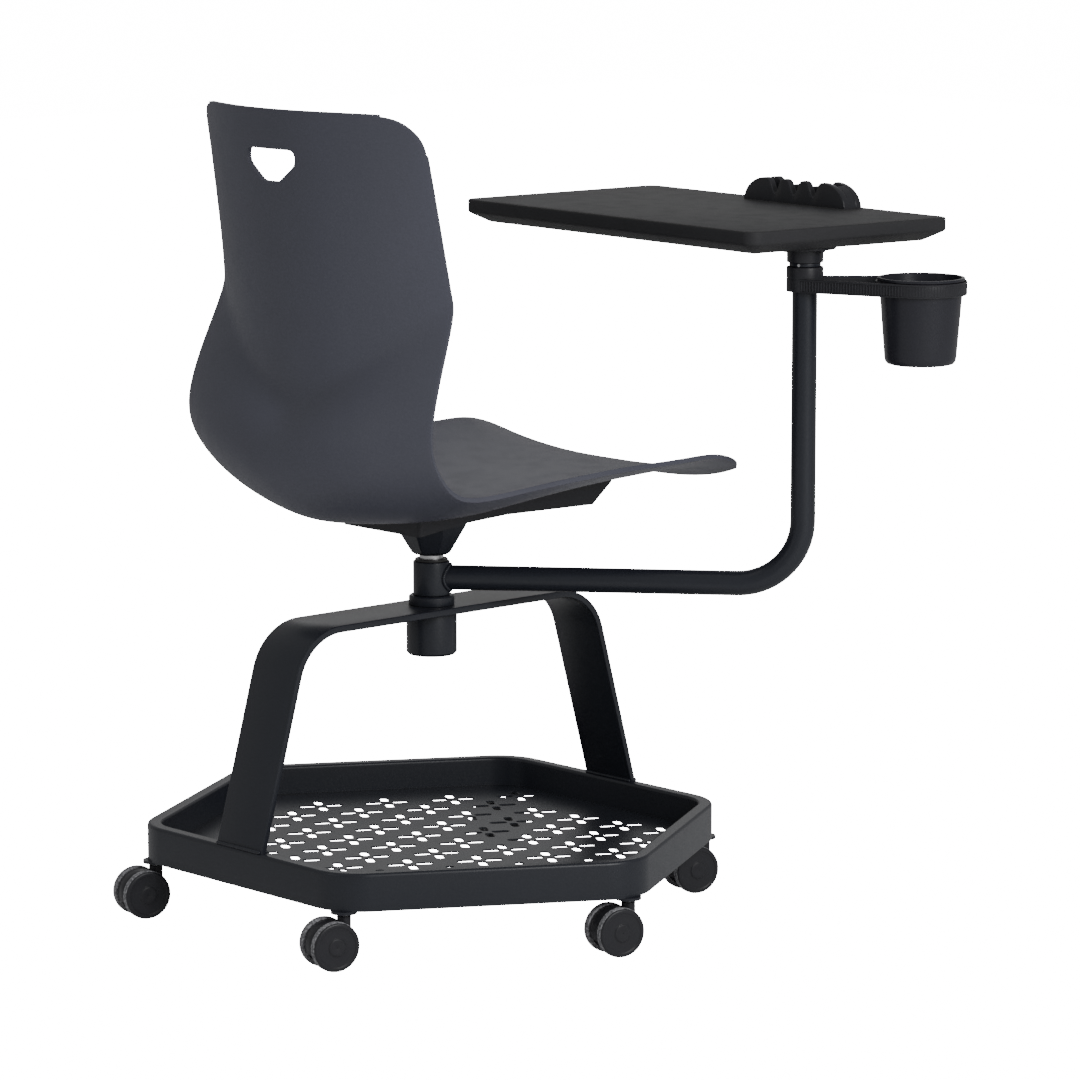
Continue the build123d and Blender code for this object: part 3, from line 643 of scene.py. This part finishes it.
# %% Outlines that can be drawn in
def rounded_outline(corners, inset, radius, steps=10):
    """A polygon drawn in by inset, its corners rounded. It always has the same number of points."""
    points = [Vector(c) for c in corners]
    count = len(points)
    result = []
    for i, here in enumerate(points):
        before, after = (points[i - 1] - here).normalized(), (points[(i + 1) % count] - here).normalized()
        half = before.angle(after) / 2
        way = (before + after).normalized()
        curve = max(radius - inset, 0.8)
        centre = here + way * ((inset + curve) / math.sin(half))
        first = math.atan2(-before.x, before.y) + math.pi
        turn = math.pi - 2 * half
        for k in range(steps + 1):
            angle = first + turn * k / steps
            result.append((centre.x + curve * math.cos(angle), centre.y + curve * math.sin(angle)))
    return result


def drawn(corners, radius, profile, place=None, closed=False):
    """A skin whose loops are one outline, drawn in and raised as the profile says."""
    loops = [[(x, y, z) for x, y in rounded_outline(corners, inset, radius)] for inset, z in profile]
    part = skinned(loops, closed)
    return moved(part, place) if place else part


# %% The tabletop
tablet_corners = [(-236.95, -132.25), (236.95, -132.25), (232.6, 132.25), (-232.6, 132.25)]
on_tablet = Matrix.Translation((-113.3, -272.8, 0)) @ Matrix.Rotation(math.radians(-4.12), 4, "Z")
top_z, board, square_edge, bevel_width, tablet_corner_r = 711.0, 24.4, 13.5, 22.6, 15.0


def tabletop():
    low, arris = top_z - board, top_z - square_edge
    slope = (arris - low) / bevel_width
    profile = [(bevel_width + 2, low), (bevel_width - 1.5, low + 0.35), (3.0, arris - 3 * slope),
               (1.0, arris - 0.2), (0.2, arris + 0.9), (0.0, arris + 2.2), (0.0, top_z - 2.0),
               (0.25, top_z - 1.0), (0.9, top_z - 0.3), (2.0, top_z)]
    return made("writing_top", *drawn(tablet_corners, tablet_corner_r, profile, on_tablet), top_plastic, 40)


handed_over(tabletop(), "tablet", "tabletop")

# %% [markdown]
# ## Things that repeat
# Slots, weld ripples, screws and ribs repeat many times. A Geometry Nodes tree places one pattern on a
# set of points, so its spacing and size stay open as named inputs until the tree is evaluated. A class
# like the one for materials keeps such a tree readable.


# %% Rig
class Rig:
    """A Geometry Nodes tree with named inputs."""

    def __init__(self, name):
        self.tree = bpy.data.node_groups.new(name, "GeometryNodeTree")
        self.tree.interface.new_socket("Geometry", in_out="INPUT", socket_type="NodeSocketGeometry")
        self.tree.interface.new_socket("Geometry", in_out="OUTPUT", socket_type="NodeSocketGeometry")
        self.inlet = self.tree.nodes.new("NodeGroupInput")
        self.outlet = self.tree.nodes.new("NodeGroupOutput")
        self.values = {}

    def number(self, label, value):
        """A named input of the tree and the value it is given."""
        socket = self.tree.interface.new_socket(label, in_out="INPUT", socket_type="NodeSocketFloat")
        self.values[socket.identifier] = value
        return self.inlet.outputs[label]

    def node(self, kind, settings=(), sockets=(), out=0):
        node = self.tree.nodes.new(kind)
        for key, value in dict(settings).items():
            setattr(node, key, value)
        for key, value in dict(sockets).items():
            for given in value if isinstance(value, list) else [value]:
                if isinstance(given, bpy.types.NodeSocket):
                    self.tree.links.new(given, node.inputs[key])
                else:
                    node.inputs[key].default_value = given
        return node.outputs[out]

    def source(self):
        return self.inlet.outputs["Geometry"]

    def vector(self, x=0.0, y=0.0, z=0.0):
        return self.node("ShaderNodeCombineXYZ", {}, {0: x, 1: y, 2: z})

    def grow(self, piece, geometry, finish, smooth=30):
        """Evaluates the tree on a piece and keeps the result as the piece's plain mesh."""
        whole = self.node("GeometryNodeRealizeInstances", {}, {0: geometry})
        dressed = self.node("GeometryNodeSetMaterial", {}, {"Geometry": whole, "Material": finish})
        self.tree.links.new(dressed, self.outlet.inputs[0])
        modifier = piece.modifiers.new(self.tree.name, "NODES")
        modifier.node_group = self.tree
        for identifier, value in self.values.items():
            modifier[identifier] = value
        return settled(piece, smooth)


def strung(name, loops, finish):
    """A piece that holds only closed lines of points, for a rig to work on."""
    points, edges = [], []
    for loop in loops:
        shift, count = len(points), len(loop)
        points += [tuple(c * MM for c in p) for p in loop]
        edges += [(shift + k, shift + (k + 1) % count) for k in range(count)]
    mesh = bpy.data.meshes.new(name)
    mesh.from_pydata(points, edges, [])
    return shown(name, mesh)


def seeded(name, points):
    """A piece that holds only loose points, for a rig to work on."""
    mesh = bpy.data.meshes.new(name)
    mesh.from_pydata([tuple(c * MM for c in p) for p in points], [], [])
    return shown(name, mesh)


# %% [markdown]
# ## The base
# The rim is one folded channel. The tray floor is a sheet with crosses of four slots in staggered rows.
# The tree takes the sheet's outline as a line and the centres of the crosses as loose points.

# %% The rim
hexagon = [(-157, -260), (157, -260), (311, 0), (157, 260), (-157, 260), (-311, 0)]
rim_corner_r, rim_width, tray_top, tray_thick = 58.0, 15.0, 63.5, 1.5
rim_profile = [(0, 57.5), (0, 92.0), (0.3, 93.6), (1.1, 94.8), (2.3, 95.4), (3.6, 95.5), (11.4, 95.5),
               (12.7, 95.4), (13.9, 94.8), (14.7, 93.6), (15, 92.0), (15, 57.5),
               (13.5, 57.5), (13.5, 92.5), (1.5, 92.5), (1.5, 57.5)]
rim = made("folded_rim", *drawn(hexagon, rim_corner_r, rim_profile, closed=True), black_coat)
handed_over(rim, "base", "hex_rim")

# %% The tray floor
slot_turn, slot_offset, motif_pitch, motif_row = math.radians(61), 14.5, 72.0, 41.5
motif_start, edge_margin = Vector((24, -3)), 47
leg_clear_x, leg_clear_y = 39, 227


def cross_centres():
    """Centres of the slot crosses that lie wholly on the tray floor."""
    along = Vector((math.cos(slot_turn), math.sin(slot_turn)))
    across = Vector((-along.y, along.x))
    centres = []
    for row in range(-8, 9):
        for step in range(-6, 7):
            spot = motif_start + along * ((step + 0.5 * (row % 2)) * motif_pitch) + across * (row * motif_row)
            under_leg = abs(spot.x) < leg_clear_x and abs(spot.y) > leg_clear_y
            depths = []
            for start, end in zip(hexagon, hexagon[1:] + hexagon[:1]):
                side = (Vector(end) - Vector(start)).normalized()
                depths.append(side.x * (spot.y - start[1]) - side.y * (spot.x - start[0]))
            if min(depths) > edge_margin and not under_leg:
                centres.append(spot)
    return centres


def tray_floor():
    outline = [(x, y, tray_top) for x, y in rounded_outline(hexagon, rim_width, rim_corner_r)]
    sheet = strung("slotted_floor", [outline], black_coat)
    rig = Rig("slot_crosses")
    length, width = rig.number("Slot length", 0.019), rig.number("Slot width", 0.009)
    offset, thick = rig.number("Slot offset", slot_offset * MM), rig.number("Sheet", tray_thick * MM)
    bar = rig.node("GeometryNodeCurvePrimitiveQuadrilateral", {}, {"Width": length, "Height": width})
    half = rig.node("ShaderNodeMath", {"operation": "MULTIPLY"}, {0: width, 1: 0.499})
    slot = rig.node("GeometryNodeFilletCurve", {"mode": "POLY"}, {"Curve": bar, "Count": 6, "Radius": half})
    quarter = rig.node("GeometryNodeMeshCircle", {}, {"Vertices": 4, "Radius": offset})
    turn = rig.node("ShaderNodeMath", {"operation": "MULTIPLY"},
                    {0: rig.node("GeometryNodeInputIndex"), 1: math.pi / 2})
    cross = rig.node("GeometryNodeInstanceOnPoints", {},
                     {"Points": quarter, "Instance": slot, "Rotation": rig.vector(z=turn)})
    spots = bpy.data.meshes.new("cross_centres")
    spots.from_pydata([(c.x * MM, c.y * MM, tray_top * MM) for c in cross_centres()], [], [])
    holder = bpy.data.objects.new("cross_centres", spots)
    given = rig.node("GeometryNodeObjectInfo", {}, {"Object": holder}, out="Geometry")
    crosses = rig.node("GeometryNodeInstanceOnPoints", {},
                       {"Points": given, "Instance": cross, "Rotation": rig.vector(z=slot_turn)})
    cuts = rig.node("GeometryNodeRealizeInstances", {}, {0: crosses})
    edge = rig.node("GeometryNodeMeshToCurve", {}, {0: rig.source()})
    lines = rig.node("GeometryNodeJoinGeometry", {}, {0: [edge, cuts]})
    fill = rig.node("GeometryNodeFillCurve", {}, {"Curve": lines})
    raised = rig.node("GeometryNodeTransform", {}, {"Geometry": fill, "Translation": (0, 0, tray_top * MM)})
    lifted = rig.node("GeometryNodeExtrudeMesh", {},
                      {"Mesh": raised, "Offset Scale": thick, "Individual": False})
    under = rig.node("GeometryNodeFlipFaces", {}, {0: raised})
    both = rig.node("GeometryNodeJoinGeometry", {}, {0: [lifted, under]})
    closed = rig.node("GeometryNodeMergeByDistance", {}, {"Geometry": both, "Distance": 0.00001})
    sheet = rig.grow(sheet, closed, black_coat, 35)
    bpy.data.objects.remove(holder)
    return handed_over(sheet, "base", "tray_floor")


tray_floor()

# %% [markdown]
# ## Arch and column
# The arch is a flat bar bent over two corners. The section of the bar is carried along the path of its
# outer face. A hole is cut for the column, and rows of weld ripples hold the feet to the rim.


# %% The arch
band_thick, band_half, band_top, band_foot = 7.2, 35.0, 313.0, 95.5
foot_y, leg_lean, band_bend_r, band_edge = 257, math.radians(15.6), 61.0, 1.3
column_bore_r = 22.0


def cut_out(piece, cutter, smooth=30):
    """Takes the cutter's volume out of a piece."""
    cut = piece.modifiers.new("cut", "BOOLEAN")
    cut.operation = "DIFFERENCE"
    cut.solver = "EXACT"
    cut.object = cutter
    settled(piece, smooth)
    bpy.data.objects.remove(cutter)
    return piece


def arch_band():
    corner_y = foot_y - (band_top - band_foot) * math.tan(leg_lean)
    path = softened([(-foot_y, band_foot), (-corner_y, band_top), (corner_y, band_top), (foot_y, band_foot)],
                    band_bend_r, 14)
    section = softened([(-band_half, 0), (band_half, 0), (band_half, band_thick), (-band_half, band_thick)],
                       band_edge, 3, closed=True)
    loops = []
    for i, here in enumerate(path):
        before, after = Vector(path[max(i - 1, 0)]), Vector(path[min(i + 1, len(path) - 1)])
        way = (after - before).normalized()
        loops.append([(x, here[0] + way.y * d, max(here[1] - way.x * d, band_foot)) for x, d in section])
    band = made("bent_arch", *skinned(loops[::-1]), black_coat)
    hole = made("column_hole", *turned([(column_bore_r, 290), (column_bore_r, 330)]), black_coat)
    return handed_over(cut_out(band, hole), "base", "arch_band")


def ripples(name, paths, radius_mm):
    """A weld bead: overlapping drops of metal along each path of points."""
    bead = seeded(name, [point for path in paths for point in path])
    rig = Rig(name + "_rig")
    radius = rig.number("Drop radius", radius_mm * MM)
    drop = rig.node("GeometryNodeMeshUVSphere", {}, {"Segments": 12, "Rings": 8, "Radius": radius})
    size = rig.node("FunctionNodeRandomValue", {"data_type": "FLOAT"}, {2: 0.9, 3: 1.06, "Seed": 4}, out=1)
    placed = rig.node("GeometryNodeInstanceOnPoints", {},
                      {"Points": rig.source(), "Instance": drop, "Scale": size})
    return rig.grow(bead, placed, black_coat, 60)


arch_band()
weld_r, weld_z, weld_half, ripple_pitch = 2.0, 96.6, 32.5, 1.5
weld_paths = []
for side in (-1, 1):
    for y in (side * 257.6, side * 248.9):
        weld_paths.append([(x, y, weld_z) for x in np.arange(-weld_half, weld_half + 0.5, ripple_pitch)])
handed_over(ripples("leg_welds", weld_paths, weld_r), "base", "leg_weld_beads")

# %% [markdown]
# The column's parts are turned. Each profile runs up the outside and back down the bore.


# %% The column, the collars and the bearing ring
def ring_piece(name, profile, edge, finish, at=(0, 0)):
    """A ring about an upright axis, the corners of its profile rounded by edge."""
    return made(name, *turned(softened(profile, edge, 3, closed=True), *at, closed=True), finish)


def plain_ring(outer, bore, low, high):
    return [(outer, low), (outer, high), (bore, high), (bore, low)]


housing_profile = [(23.6, 261.5), (26.0, 264.0), (26.0, 305.6), (column_bore_r, 305.6), (column_bore_r, 261.5)]
housing = ring_piece("column_sleeve", housing_profile, 0.7, black_coat)
handed_over(housing, "base", "column_housing")
cap_profile = [(21.6, 266.3), (0.4, 266.3), (0.4, 262.5), (20.4, 262.5), (21.6, 263.5)]
plug = made("sleeve_plug", *turned(cap_profile[::-1], closed=True), satin_plastic, 20)
handed_over(plug, "base", "housing_cap")
collar_profile = [(21.6, 305.9), (21.6, 313.1), (23.5, 313.1), (23.5, 321.6), (22.1, 323.0), (12.8, 323.0),
                  (12.8, 305.9)]
handed_over(ring_piece("base_collar", collar_profile, 0.5, black_coat), "base", "column_collar")
sleeve_r = 19.0
sleeve = ring_piece("arm_sleeve", plain_ring(sleeve_r, 15.05, 323.3, 358.0), 0.9, black_coat)
handed_over(sleeve, "arm", "arm_collar")
glide = ring_piece("glide_ring", plain_ring(17.0, 12.8, 358.0, 360.7), 0.6, bush_plastic)
handed_over(glide, "arm", "bearing_ring")


# %% [markdown]
# The hub under the seat is an eight-sided cup. Its loops have ninety-six points, whether they follow the
# octagon or the round bore, so one skin covers the outside and the bore together.


# %% The hub
def octagon(half, height, steps=12):
    """An octagon with flats at half from the centre, as many points as a circle."""
    corner_r = half / math.cos(math.pi / 8)
    turns = [math.radians(22.5 + 45 * k) for k in range(-1, 7)]
    corners = [(corner_r * math.cos(a), corner_r * math.sin(a)) for a in turns]
    loop = []
    for (x0, y0), (x1, y1) in zip(corners, corners[1:] + corners[:1]):
        loop += [(x0 + (x1 - x0) * k / steps, y0 + (y1 - y0) * k / steps, height) for k in range(steps)]
    return loop


def bore_loop(radius, height):
    turns = [math.radians(-22.5) + 2 * math.pi * k / 96 for k in range(96)]
    return [(radius * math.cos(a), radius * math.sin(a), height) for a in turns]


hub_half, hub_bore_r, hub_foot = 36, 12.55, 365
hub_loops = [bore_loop(hub_bore_r, 394), bore_loop(hub_bore_r, hub_foot), octagon(15.4, hub_foot),
             octagon(19.9, 368.1), octagon(hub_half - 0.2, 395.7), octagon(hub_half, 396.4),
             octagon(hub_half, 402)]
hub = made("eight_sided_hub", *skinned(hub_loops), black_coat, 20)
handed_over(rounded_edges(hub, 0.9, 2, 28, 20), "seat", "seat_hub")


# %% The post and its arm
arm_way, arm_reach, arm_axis_z, post_bend_r, post_top = math.radians(220.5), 380.4, 341.0, 66.0, 680.0
tube_r, tube_bore_r = 12.7, 10.7
post = (arm_reach * math.cos(arm_way), arm_reach * math.sin(arm_way))


def bent_tube():
    """The tube starts as a saddle on the arm's sleeve, runs out, bends and rises to the tablet."""
    out = Vector((math.cos(arm_way), math.sin(arm_way), 0))
    side = Vector((-out.y, out.x, 0))
    up = Vector((0, 0, 1))
    bend_from = arm_reach - post_bend_r
    stations = [("run", d) for d in (sleeve_r, 30, 60, 120, 200, 270, bend_from)]
    stations += [("bend", a) for a in np.linspace(6, 90, 15)]
    stations += [("rise", z) for z in (460, 520, 580, 640, post_top)]
    walls = []
    for radius in (tube_r, tube_bore_r):
        loops = []
        for kind, at in stations:
            if kind == "run":
                centre, lift = out * at + up * arm_axis_z, up
            elif kind == "bend":
                a = math.radians(at)
                centre = out * (bend_from + post_bend_r * math.sin(a))
                centre += up * (arm_axis_z + post_bend_r - post_bend_r * math.cos(a))
                lift = up * math.cos(a) - out * math.sin(a)
            else:
                centre, lift = out * arm_reach + up * at, -out
            loop = []
            for k in range(48):
                turn = 2 * math.pi * k / 48
                sideways, over = radius * math.cos(turn), radius * math.sin(turn)
                start = centre
                if at == sleeve_r:
                    start = centre - out * (sleeve_r - math.sqrt(sleeve_r ** 2 - sideways ** 2))
                loop.append(tuple(start + side * sideways + lift * over))
            loops.append(loop)
        walls.append(loops)
    points, faces = skinned(walls[0] + walls[1][::-1], closed=True)
    return made("bent_tube", points, faces, black_coat, 35)


def sleeve_weld():
    """The bead where the tube meets the sleeve, just outside both."""
    seam = []
    for k in range(46):
        turn = 2 * math.pi * k / 46
        sideways, over = (tube_r + 0.6) * math.cos(turn), (tube_r + 0.6) * math.sin(turn)
        along = math.sqrt((sleeve_r + 0.6) ** 2 - sideways ** 2)
        seam.append((along * math.cos(arm_way) - sideways * math.sin(arm_way),
                     along * math.sin(arm_way) + sideways * math.cos(arm_way), arm_axis_z + over))
    return ripples("sleeve_weld", [seam], weld_r)


handed_over(bent_tube(), "arm", "arm_tube")
handed_over(sleeve_weld(), "arm", slot="black_powder_coat")
stop = ring_piece("stop_collar", plain_ring(16.0, tube_r, 665.8, 669.7), 0.6, black_coat, post)
handed_over(stop, "arm", "stop_ring")

# %% The swivel under the tablet and its screws
swivel_profile = [(18.5, 670), (18.5, 682.0), (19.2, 683.6), (31, 683.6), (31, 686.6), (0.4, 686.6),
                  (0.4, 682.8), (15.25, 682.8), (15.25, 670)]
handed_over(ring_piece("swivel_plate", swivel_profile, 0.6, satin_plastic, post), "tablet", "tablet_swivel")
screw_circle_r, screw_face, first_screw = 25, 683.6, 265.5


def table_screws():
    """Four plain pan heads, set by a rig on a ring of points."""
    centre = Vector((*post, screw_face))
    spots = [centre + Vector((screw_circle_r * math.cos(a), screw_circle_r * math.sin(a), 0))
             for a in (math.radians(first_screw + 90 * k) for k in range(4))]
    shape = softened([(2.0, 10), (2.0, 0), (4.0, 0), (3.9, -1.2), (2.6, -2.2), (0.1, -2.2)], 0.5, 3)
    head = made("screw_shape", *turned(shape[::-1], steps=24), dark_steel, 40)
    screws = seeded("table_screws", spots)
    rig = Rig("screws_on_points")
    scale = rig.number("Screw scale", 1.0)
    given = rig.node("GeometryNodeObjectInfo", {}, {"Object": head}, out="Geometry")
    placed = rig.node("GeometryNodeInstanceOnPoints", {},
                      {"Points": rig.source(), "Instance": given, "Scale": scale})
    rig.grow(screws, placed, dark_steel, 40)
    bpy.data.objects.remove(head)
    return handed_over(screws, "tablet", "tablet_screws")


table_screws()

# %% [markdown]
# ## The cup and its holder
# One strap wraps the post's clamp and the cup. Upright ribs run round it. The strap is drawn in by the
# depth of the ribs, and a tree sets the ribs along its outline.

# %% The strap, the clamp and the ribs
cup_way, cup_apart, cup_ring_r, clamp_r = math.radians(214.3), 118.0, 46.2, 18.75
at_post = Matrix.Translation((*post, 0)) @ Matrix.Rotation(cup_way, 4, "Z")
cup_centre = (post[0] + cup_apart * math.cos(cup_way), post[1] + cup_apart * math.sin(cup_way))
strap_low, strap_top = 640.3, 654.3


def strap_loop(inset, height):
    """The outline round the clamp and the cup, drawn in by inset."""
    small, large = clamp_r - inset, cup_ring_r - inset
    tangent = math.acos((small - large) / cup_apart)
    loop = [(cup_apart + large * math.cos(a), large * math.sin(a), height)
            for a in np.linspace(-tangent, tangent, 96)]
    loop += [(small * math.cos(a), small * math.sin(a), height)
             for a in np.linspace(tangent, 2 * math.pi - tangent, 36)]
    return loop


def cup_holder():
    strap_profile = [(0.9, strap_low + 0.2), (0.2, strap_low + 0.9), (0.1, strap_low + 1.6),
                     (0.9, strap_low + 2.0), (0.9, strap_top - 2.4), (0.1, strap_top - 2.0),
                     (0.0, strap_top - 0.8), (0.5, strap_top - 0.1), (3.1, strap_top - 0.1),
                     (3.6, strap_top - 0.6), (3.6, strap_low + 0.5), (3.2, strap_low)]
    strap = moved(skinned([strap_loop(inset, z) for inset, z in strap_profile], closed=True), at_post)
    seat = softened(plain_ring(45.9, 42.6, strap_low + 0.1, strap_top - 0.1), 0.5, 3, True)
    clamp = softened(plain_ring(18.6, 12.75, strap_low + 0.1, 665.5), 0.7, 3, True)
    body = joined([strap, turned(seat, *cup_centre, True), turned(clamp, *post, True)])
    holder = made("cup_strap", *body, satin_plastic, 35)
    handed_over(holder, "cup_holder", "cup_ring")
    line = [tuple(at_post @ Vector(p)) for p in strap_loop(0.85, strap_low + 6.8)]
    ribs = strung("strap_ribs", [line], satin_plastic)
    rig = Rig("ribs_round_a_line")
    pitch, height = rig.number("Rib pitch", 0.0031), rig.number("Rib height", 0.0098)
    radius = rig.number("Rib radius", 0.0008)
    edge = rig.node("GeometryNodeMeshToCurve", {}, {0: rig.source()})
    spots = rig.node("GeometryNodeResampleCurve", {"mode": "LENGTH"}, {"Curve": edge, "Length": pitch})
    bar = rig.node("GeometryNodeMeshCylinder", {}, {"Vertices": 10, "Radius": radius, "Depth": height})
    placed = rig.node("GeometryNodeInstanceOnPoints", {}, {"Points": spots, "Instance": bar})
    rig.grow(ribs, placed, satin_plastic, 50)
    return handed_over(ribs, "cup_holder", slot="black_powder_coat")


cup_holder()
cup_outline = [(0.1, 570.0), (30.0, 570.0), (33.4, 570.9), (35.4, 573.4), (36.2, 577.0), (42.43, 654.5),
               (44.1, 654.9), (44.1, 657.0), (43.5, 657.6), (41.2, 657.6), (40.6, 657.1), (34.4, 577.4),
               (33.3, 574.2), (31.2, 572.2), (28.0, 571.8), (0.1, 571.8)]
cup = made("cup_wall", *turned(cup_outline, *cup_centre, steps=128), cup_plastic, 35)
handed_over(cup, "cup", "cup")

# %% [markdown]
# ## The pen holder
# Two quarter-round fins stand at the ends, and round pegs stand between them in two rows. The back row
# is lower. Each wall is a skin over sections that follow the same height rule across the tablet.


# %% The pen holder
fin_from, holder_half, holder_rise_max = 45, 79, 24.8      # the fins run out from fin_from to the ends
peg_pitch, valley_depth, holder_foot = 30, 16, -1.8
wall_near, wall_thick, far_row_drop = 4.5, 7.5, 6.5
bed_half, bed_depth, bed_low, bed_top = 78.6, 4.6, 709.2, 716.8


def holder_rise(x):
    """Height of the holder over the tablet."""
    if abs(x) > fin_from:
        run_out = (abs(x) - fin_from) / (holder_half - fin_from)
        return holder_rise_max * math.sqrt(max(1 - run_out ** 2, 0.0))
    from_valley = (x + peg_pitch / 2) % peg_pitch - peg_pitch / 2
    return holder_rise_max - valley_depth * math.cos(math.pi * from_valley / peg_pitch) ** 4


def holder_wall(near, far, drop):
    """A wall from depth near to depth far, its middle lowered by drop."""
    fine_ends = [-holder_half, holder_half, -78.7, 78.7]
    stations = sorted({round(x, 2) for x in [*np.arange(-78, 78.1, 1.5), *fine_ends]})
    loops = []
    for x in stations:
        middle = 1 - min(abs(x) / fin_from, 1.0) ** 4
        rise = max(holder_rise(x) - drop * middle, 0.0)
        edge = min(1.4, rise * 0.5)
        section = [(near, holder_foot), (far, holder_foot), (far, rise - edge),
                   (far - edge * 0.3, rise - edge * 0.3), (far - edge, rise), (near + edge, rise),
                   (near + edge * 0.3, rise - edge * 0.3), (near, rise - edge)]
        loops.append([(x, y, top_z + z) for y, z in section])
    return skinned(loops)


def bed_section(x, top):
    """A level section of the bed between the walls."""
    return [(x, -bed_depth, bed_low), (x, bed_depth, bed_low), (x, bed_depth, top), (x, -bed_depth, top)]


def pen_holder():
    place = on_tablet @ Matrix.Translation((-28.8, -113.5, 0))
    walls = [holder_wall(wall_near, wall_near + wall_thick, 0.0),
             holder_wall(-wall_near - wall_thick, -wall_near, far_row_drop)]
    ends = []
    for stations in ((-bed_half, -74, -68, -60, -52), (52, 60, 68, 74, bed_half)):
        rises = [min(holder_rise(x), 24.0) - 0.3 if abs(x) > 52 else 5.8 for x in stations]
        ends.append(skinned([bed_section(x, top_z + max(rise, 0.1)) for x, rise in zip(stations, rises)]))
    low = skinned([bed_section(x, bed_top) for x in (-52, 52)])
    parts = joined([*walls, ends[0], low, ends[1]])
    holder = made("pen_rack", *moved(parts, place), satin_plastic, 45)
    return handed_over(holder, "tablet", "pen_holder")


pen_holder()

# %% [markdown]
# ## Casters
# All six casters are alike. Their meshes are made once about the stem's foot and placed six times, each
# time on the body that swivels or on the body that rolls.

# %% Caster shapes
trail, axle_z, stem_inset, caster_heading = 16, 25, 7.5, 75.5
stem_spots = []
for i, corner in enumerate(hexagon):
    here = Vector(corner)
    ways = [(Vector(hexagon[i - 1]) - here).normalized(), (Vector(hexagon[(i + 1) % 6]) - here).normalized()]
    half_turn = ways[0].angle(ways[1]) / 2
    stem_spots.append(here + (ways[0] + ways[1]).normalized() * (rim_corner_r / math.sin(half_turn)
                                                                  - rim_corner_r + stem_inset))
on_side = Matrix.Rotation(math.radians(-90), 4, "X")


def on_axle(profile, steps=64):
    """A turned part whose axis is the wheel axis. The profile gives radius and place along the axle."""
    part = turned(profile, closed=True, steps=steps)
    return moved(part, Matrix.Translation((trail, 0, axle_z)) @ on_side)


def pair(part):
    """A part and its mirror image on the other side of the stem."""
    points, faces = part
    return joined([part, ([(x, -y, z) for x, y, z in points], [face[::-1] for face in faces])])


def hood_shape():
    """A half-round hood between the wheels, cut level below, with a round boss for the stem."""
    radius, low = 23.5, 17.0
    start = math.asin((low - axle_z) / radius)
    loops = []
    for inset, y in ((1.6, -9.0), (0.5, -8.5), (0.0, -7.6), (0.0, 7.6), (0.5, 8.5), (1.6, 9.0)):
        turns = np.linspace(start, math.pi - start, 40)
        reach = radius - inset
        loops.append([(trail + reach * math.cos(a), y, max(axle_z + reach * math.sin(a), low + inset * 0.4))
                      for a in turns])
    boss = softened([(0.1, 31), (7.0, 31), (7.0, 52.0), (4.1, 52.0), (4.1, 49), (0.1, 49)], 0.7, 3)
    return joined([skinned(loops[::-1]), turned(boss, steps=48)])


def wheel_shape():
    """One wheel: a glossy cap with a raised rim, and a hub that runs under the tread."""
    cap = [(3.05, 9.45), (21.0, 9.45), (21.0, 16.5), (24.4, 16.65), (24.4, 17.6), (23.8, 18.5),
           (22.6, 18.9), (20.5, 18.9), (19.6, 18.2), (9.4, 17.9), (8.6, 18.7), (7.6, 18.95),
           (0.3, 18.95), (0.3, 17.2), (3.05, 17.2)]
    return on_axle(softened(cap, 0.35, 2, True)[::-1])


def tread_shape():
    """A soft tyre with two fine grooves round it."""
    tyre = [(21.0, 9.5), (21.0, 16.35), (24.2, 16.35), (24.9, 15.7), (24.9, 14.4), (24.3, 14.2), (24.3, 13.9),
            (25.0, 13.7), (25.0, 12.1), (24.3, 11.9), (24.3, 11.6), (24.9, 11.4), (24.9, 10.2), (24.3, 9.5)]
    return on_axle(softened(tyre, 0.15, 1, True), 96)


def stem_shape():
    """The plated stem with its washer."""
    profile = [(0.1, 31), (4.0, 31), (4.0, 52.1), (5.5, 52.1), (5.5, 54.2), (4.0, 54.2), (4.0, 87.5),
               (0.1, 87.5)]
    return turned(softened(profile, 0.3, 2), steps=32)


# %% Six casters
# Each line gives a piece, its shape, its finish, its smoothing angle, its body and the node it stands for.
caster_pieces = [
    ("hood", hood_shape(), satin_plastic, 35, "caster", "caster_hood"),
    ("stem", stem_shape(), zinc_steel, 35, "caster", "caster_stem"),
    ("wheels_pair", pair(wheel_shape()), satin_plastic, 30, "wheels", "caster_wheels"),
    ("treads_pair", pair(tread_shape()), tread_grey, 30, "wheels", "caster_treads")]
for number, spot in enumerate(stem_spots, start=1):
    place = Matrix.Translation((spot.x, spot.y, 0)) @ Matrix.Rotation(math.radians(caster_heading), 4, "Z")
    for name, shape, finish, smooth, body, node in caster_pieces:
        piece = made(f"{name}_{number}", *shape, finish, smooth, place)
        handed_over(piece, f"{body}_{number}", f"{node}_{number}")
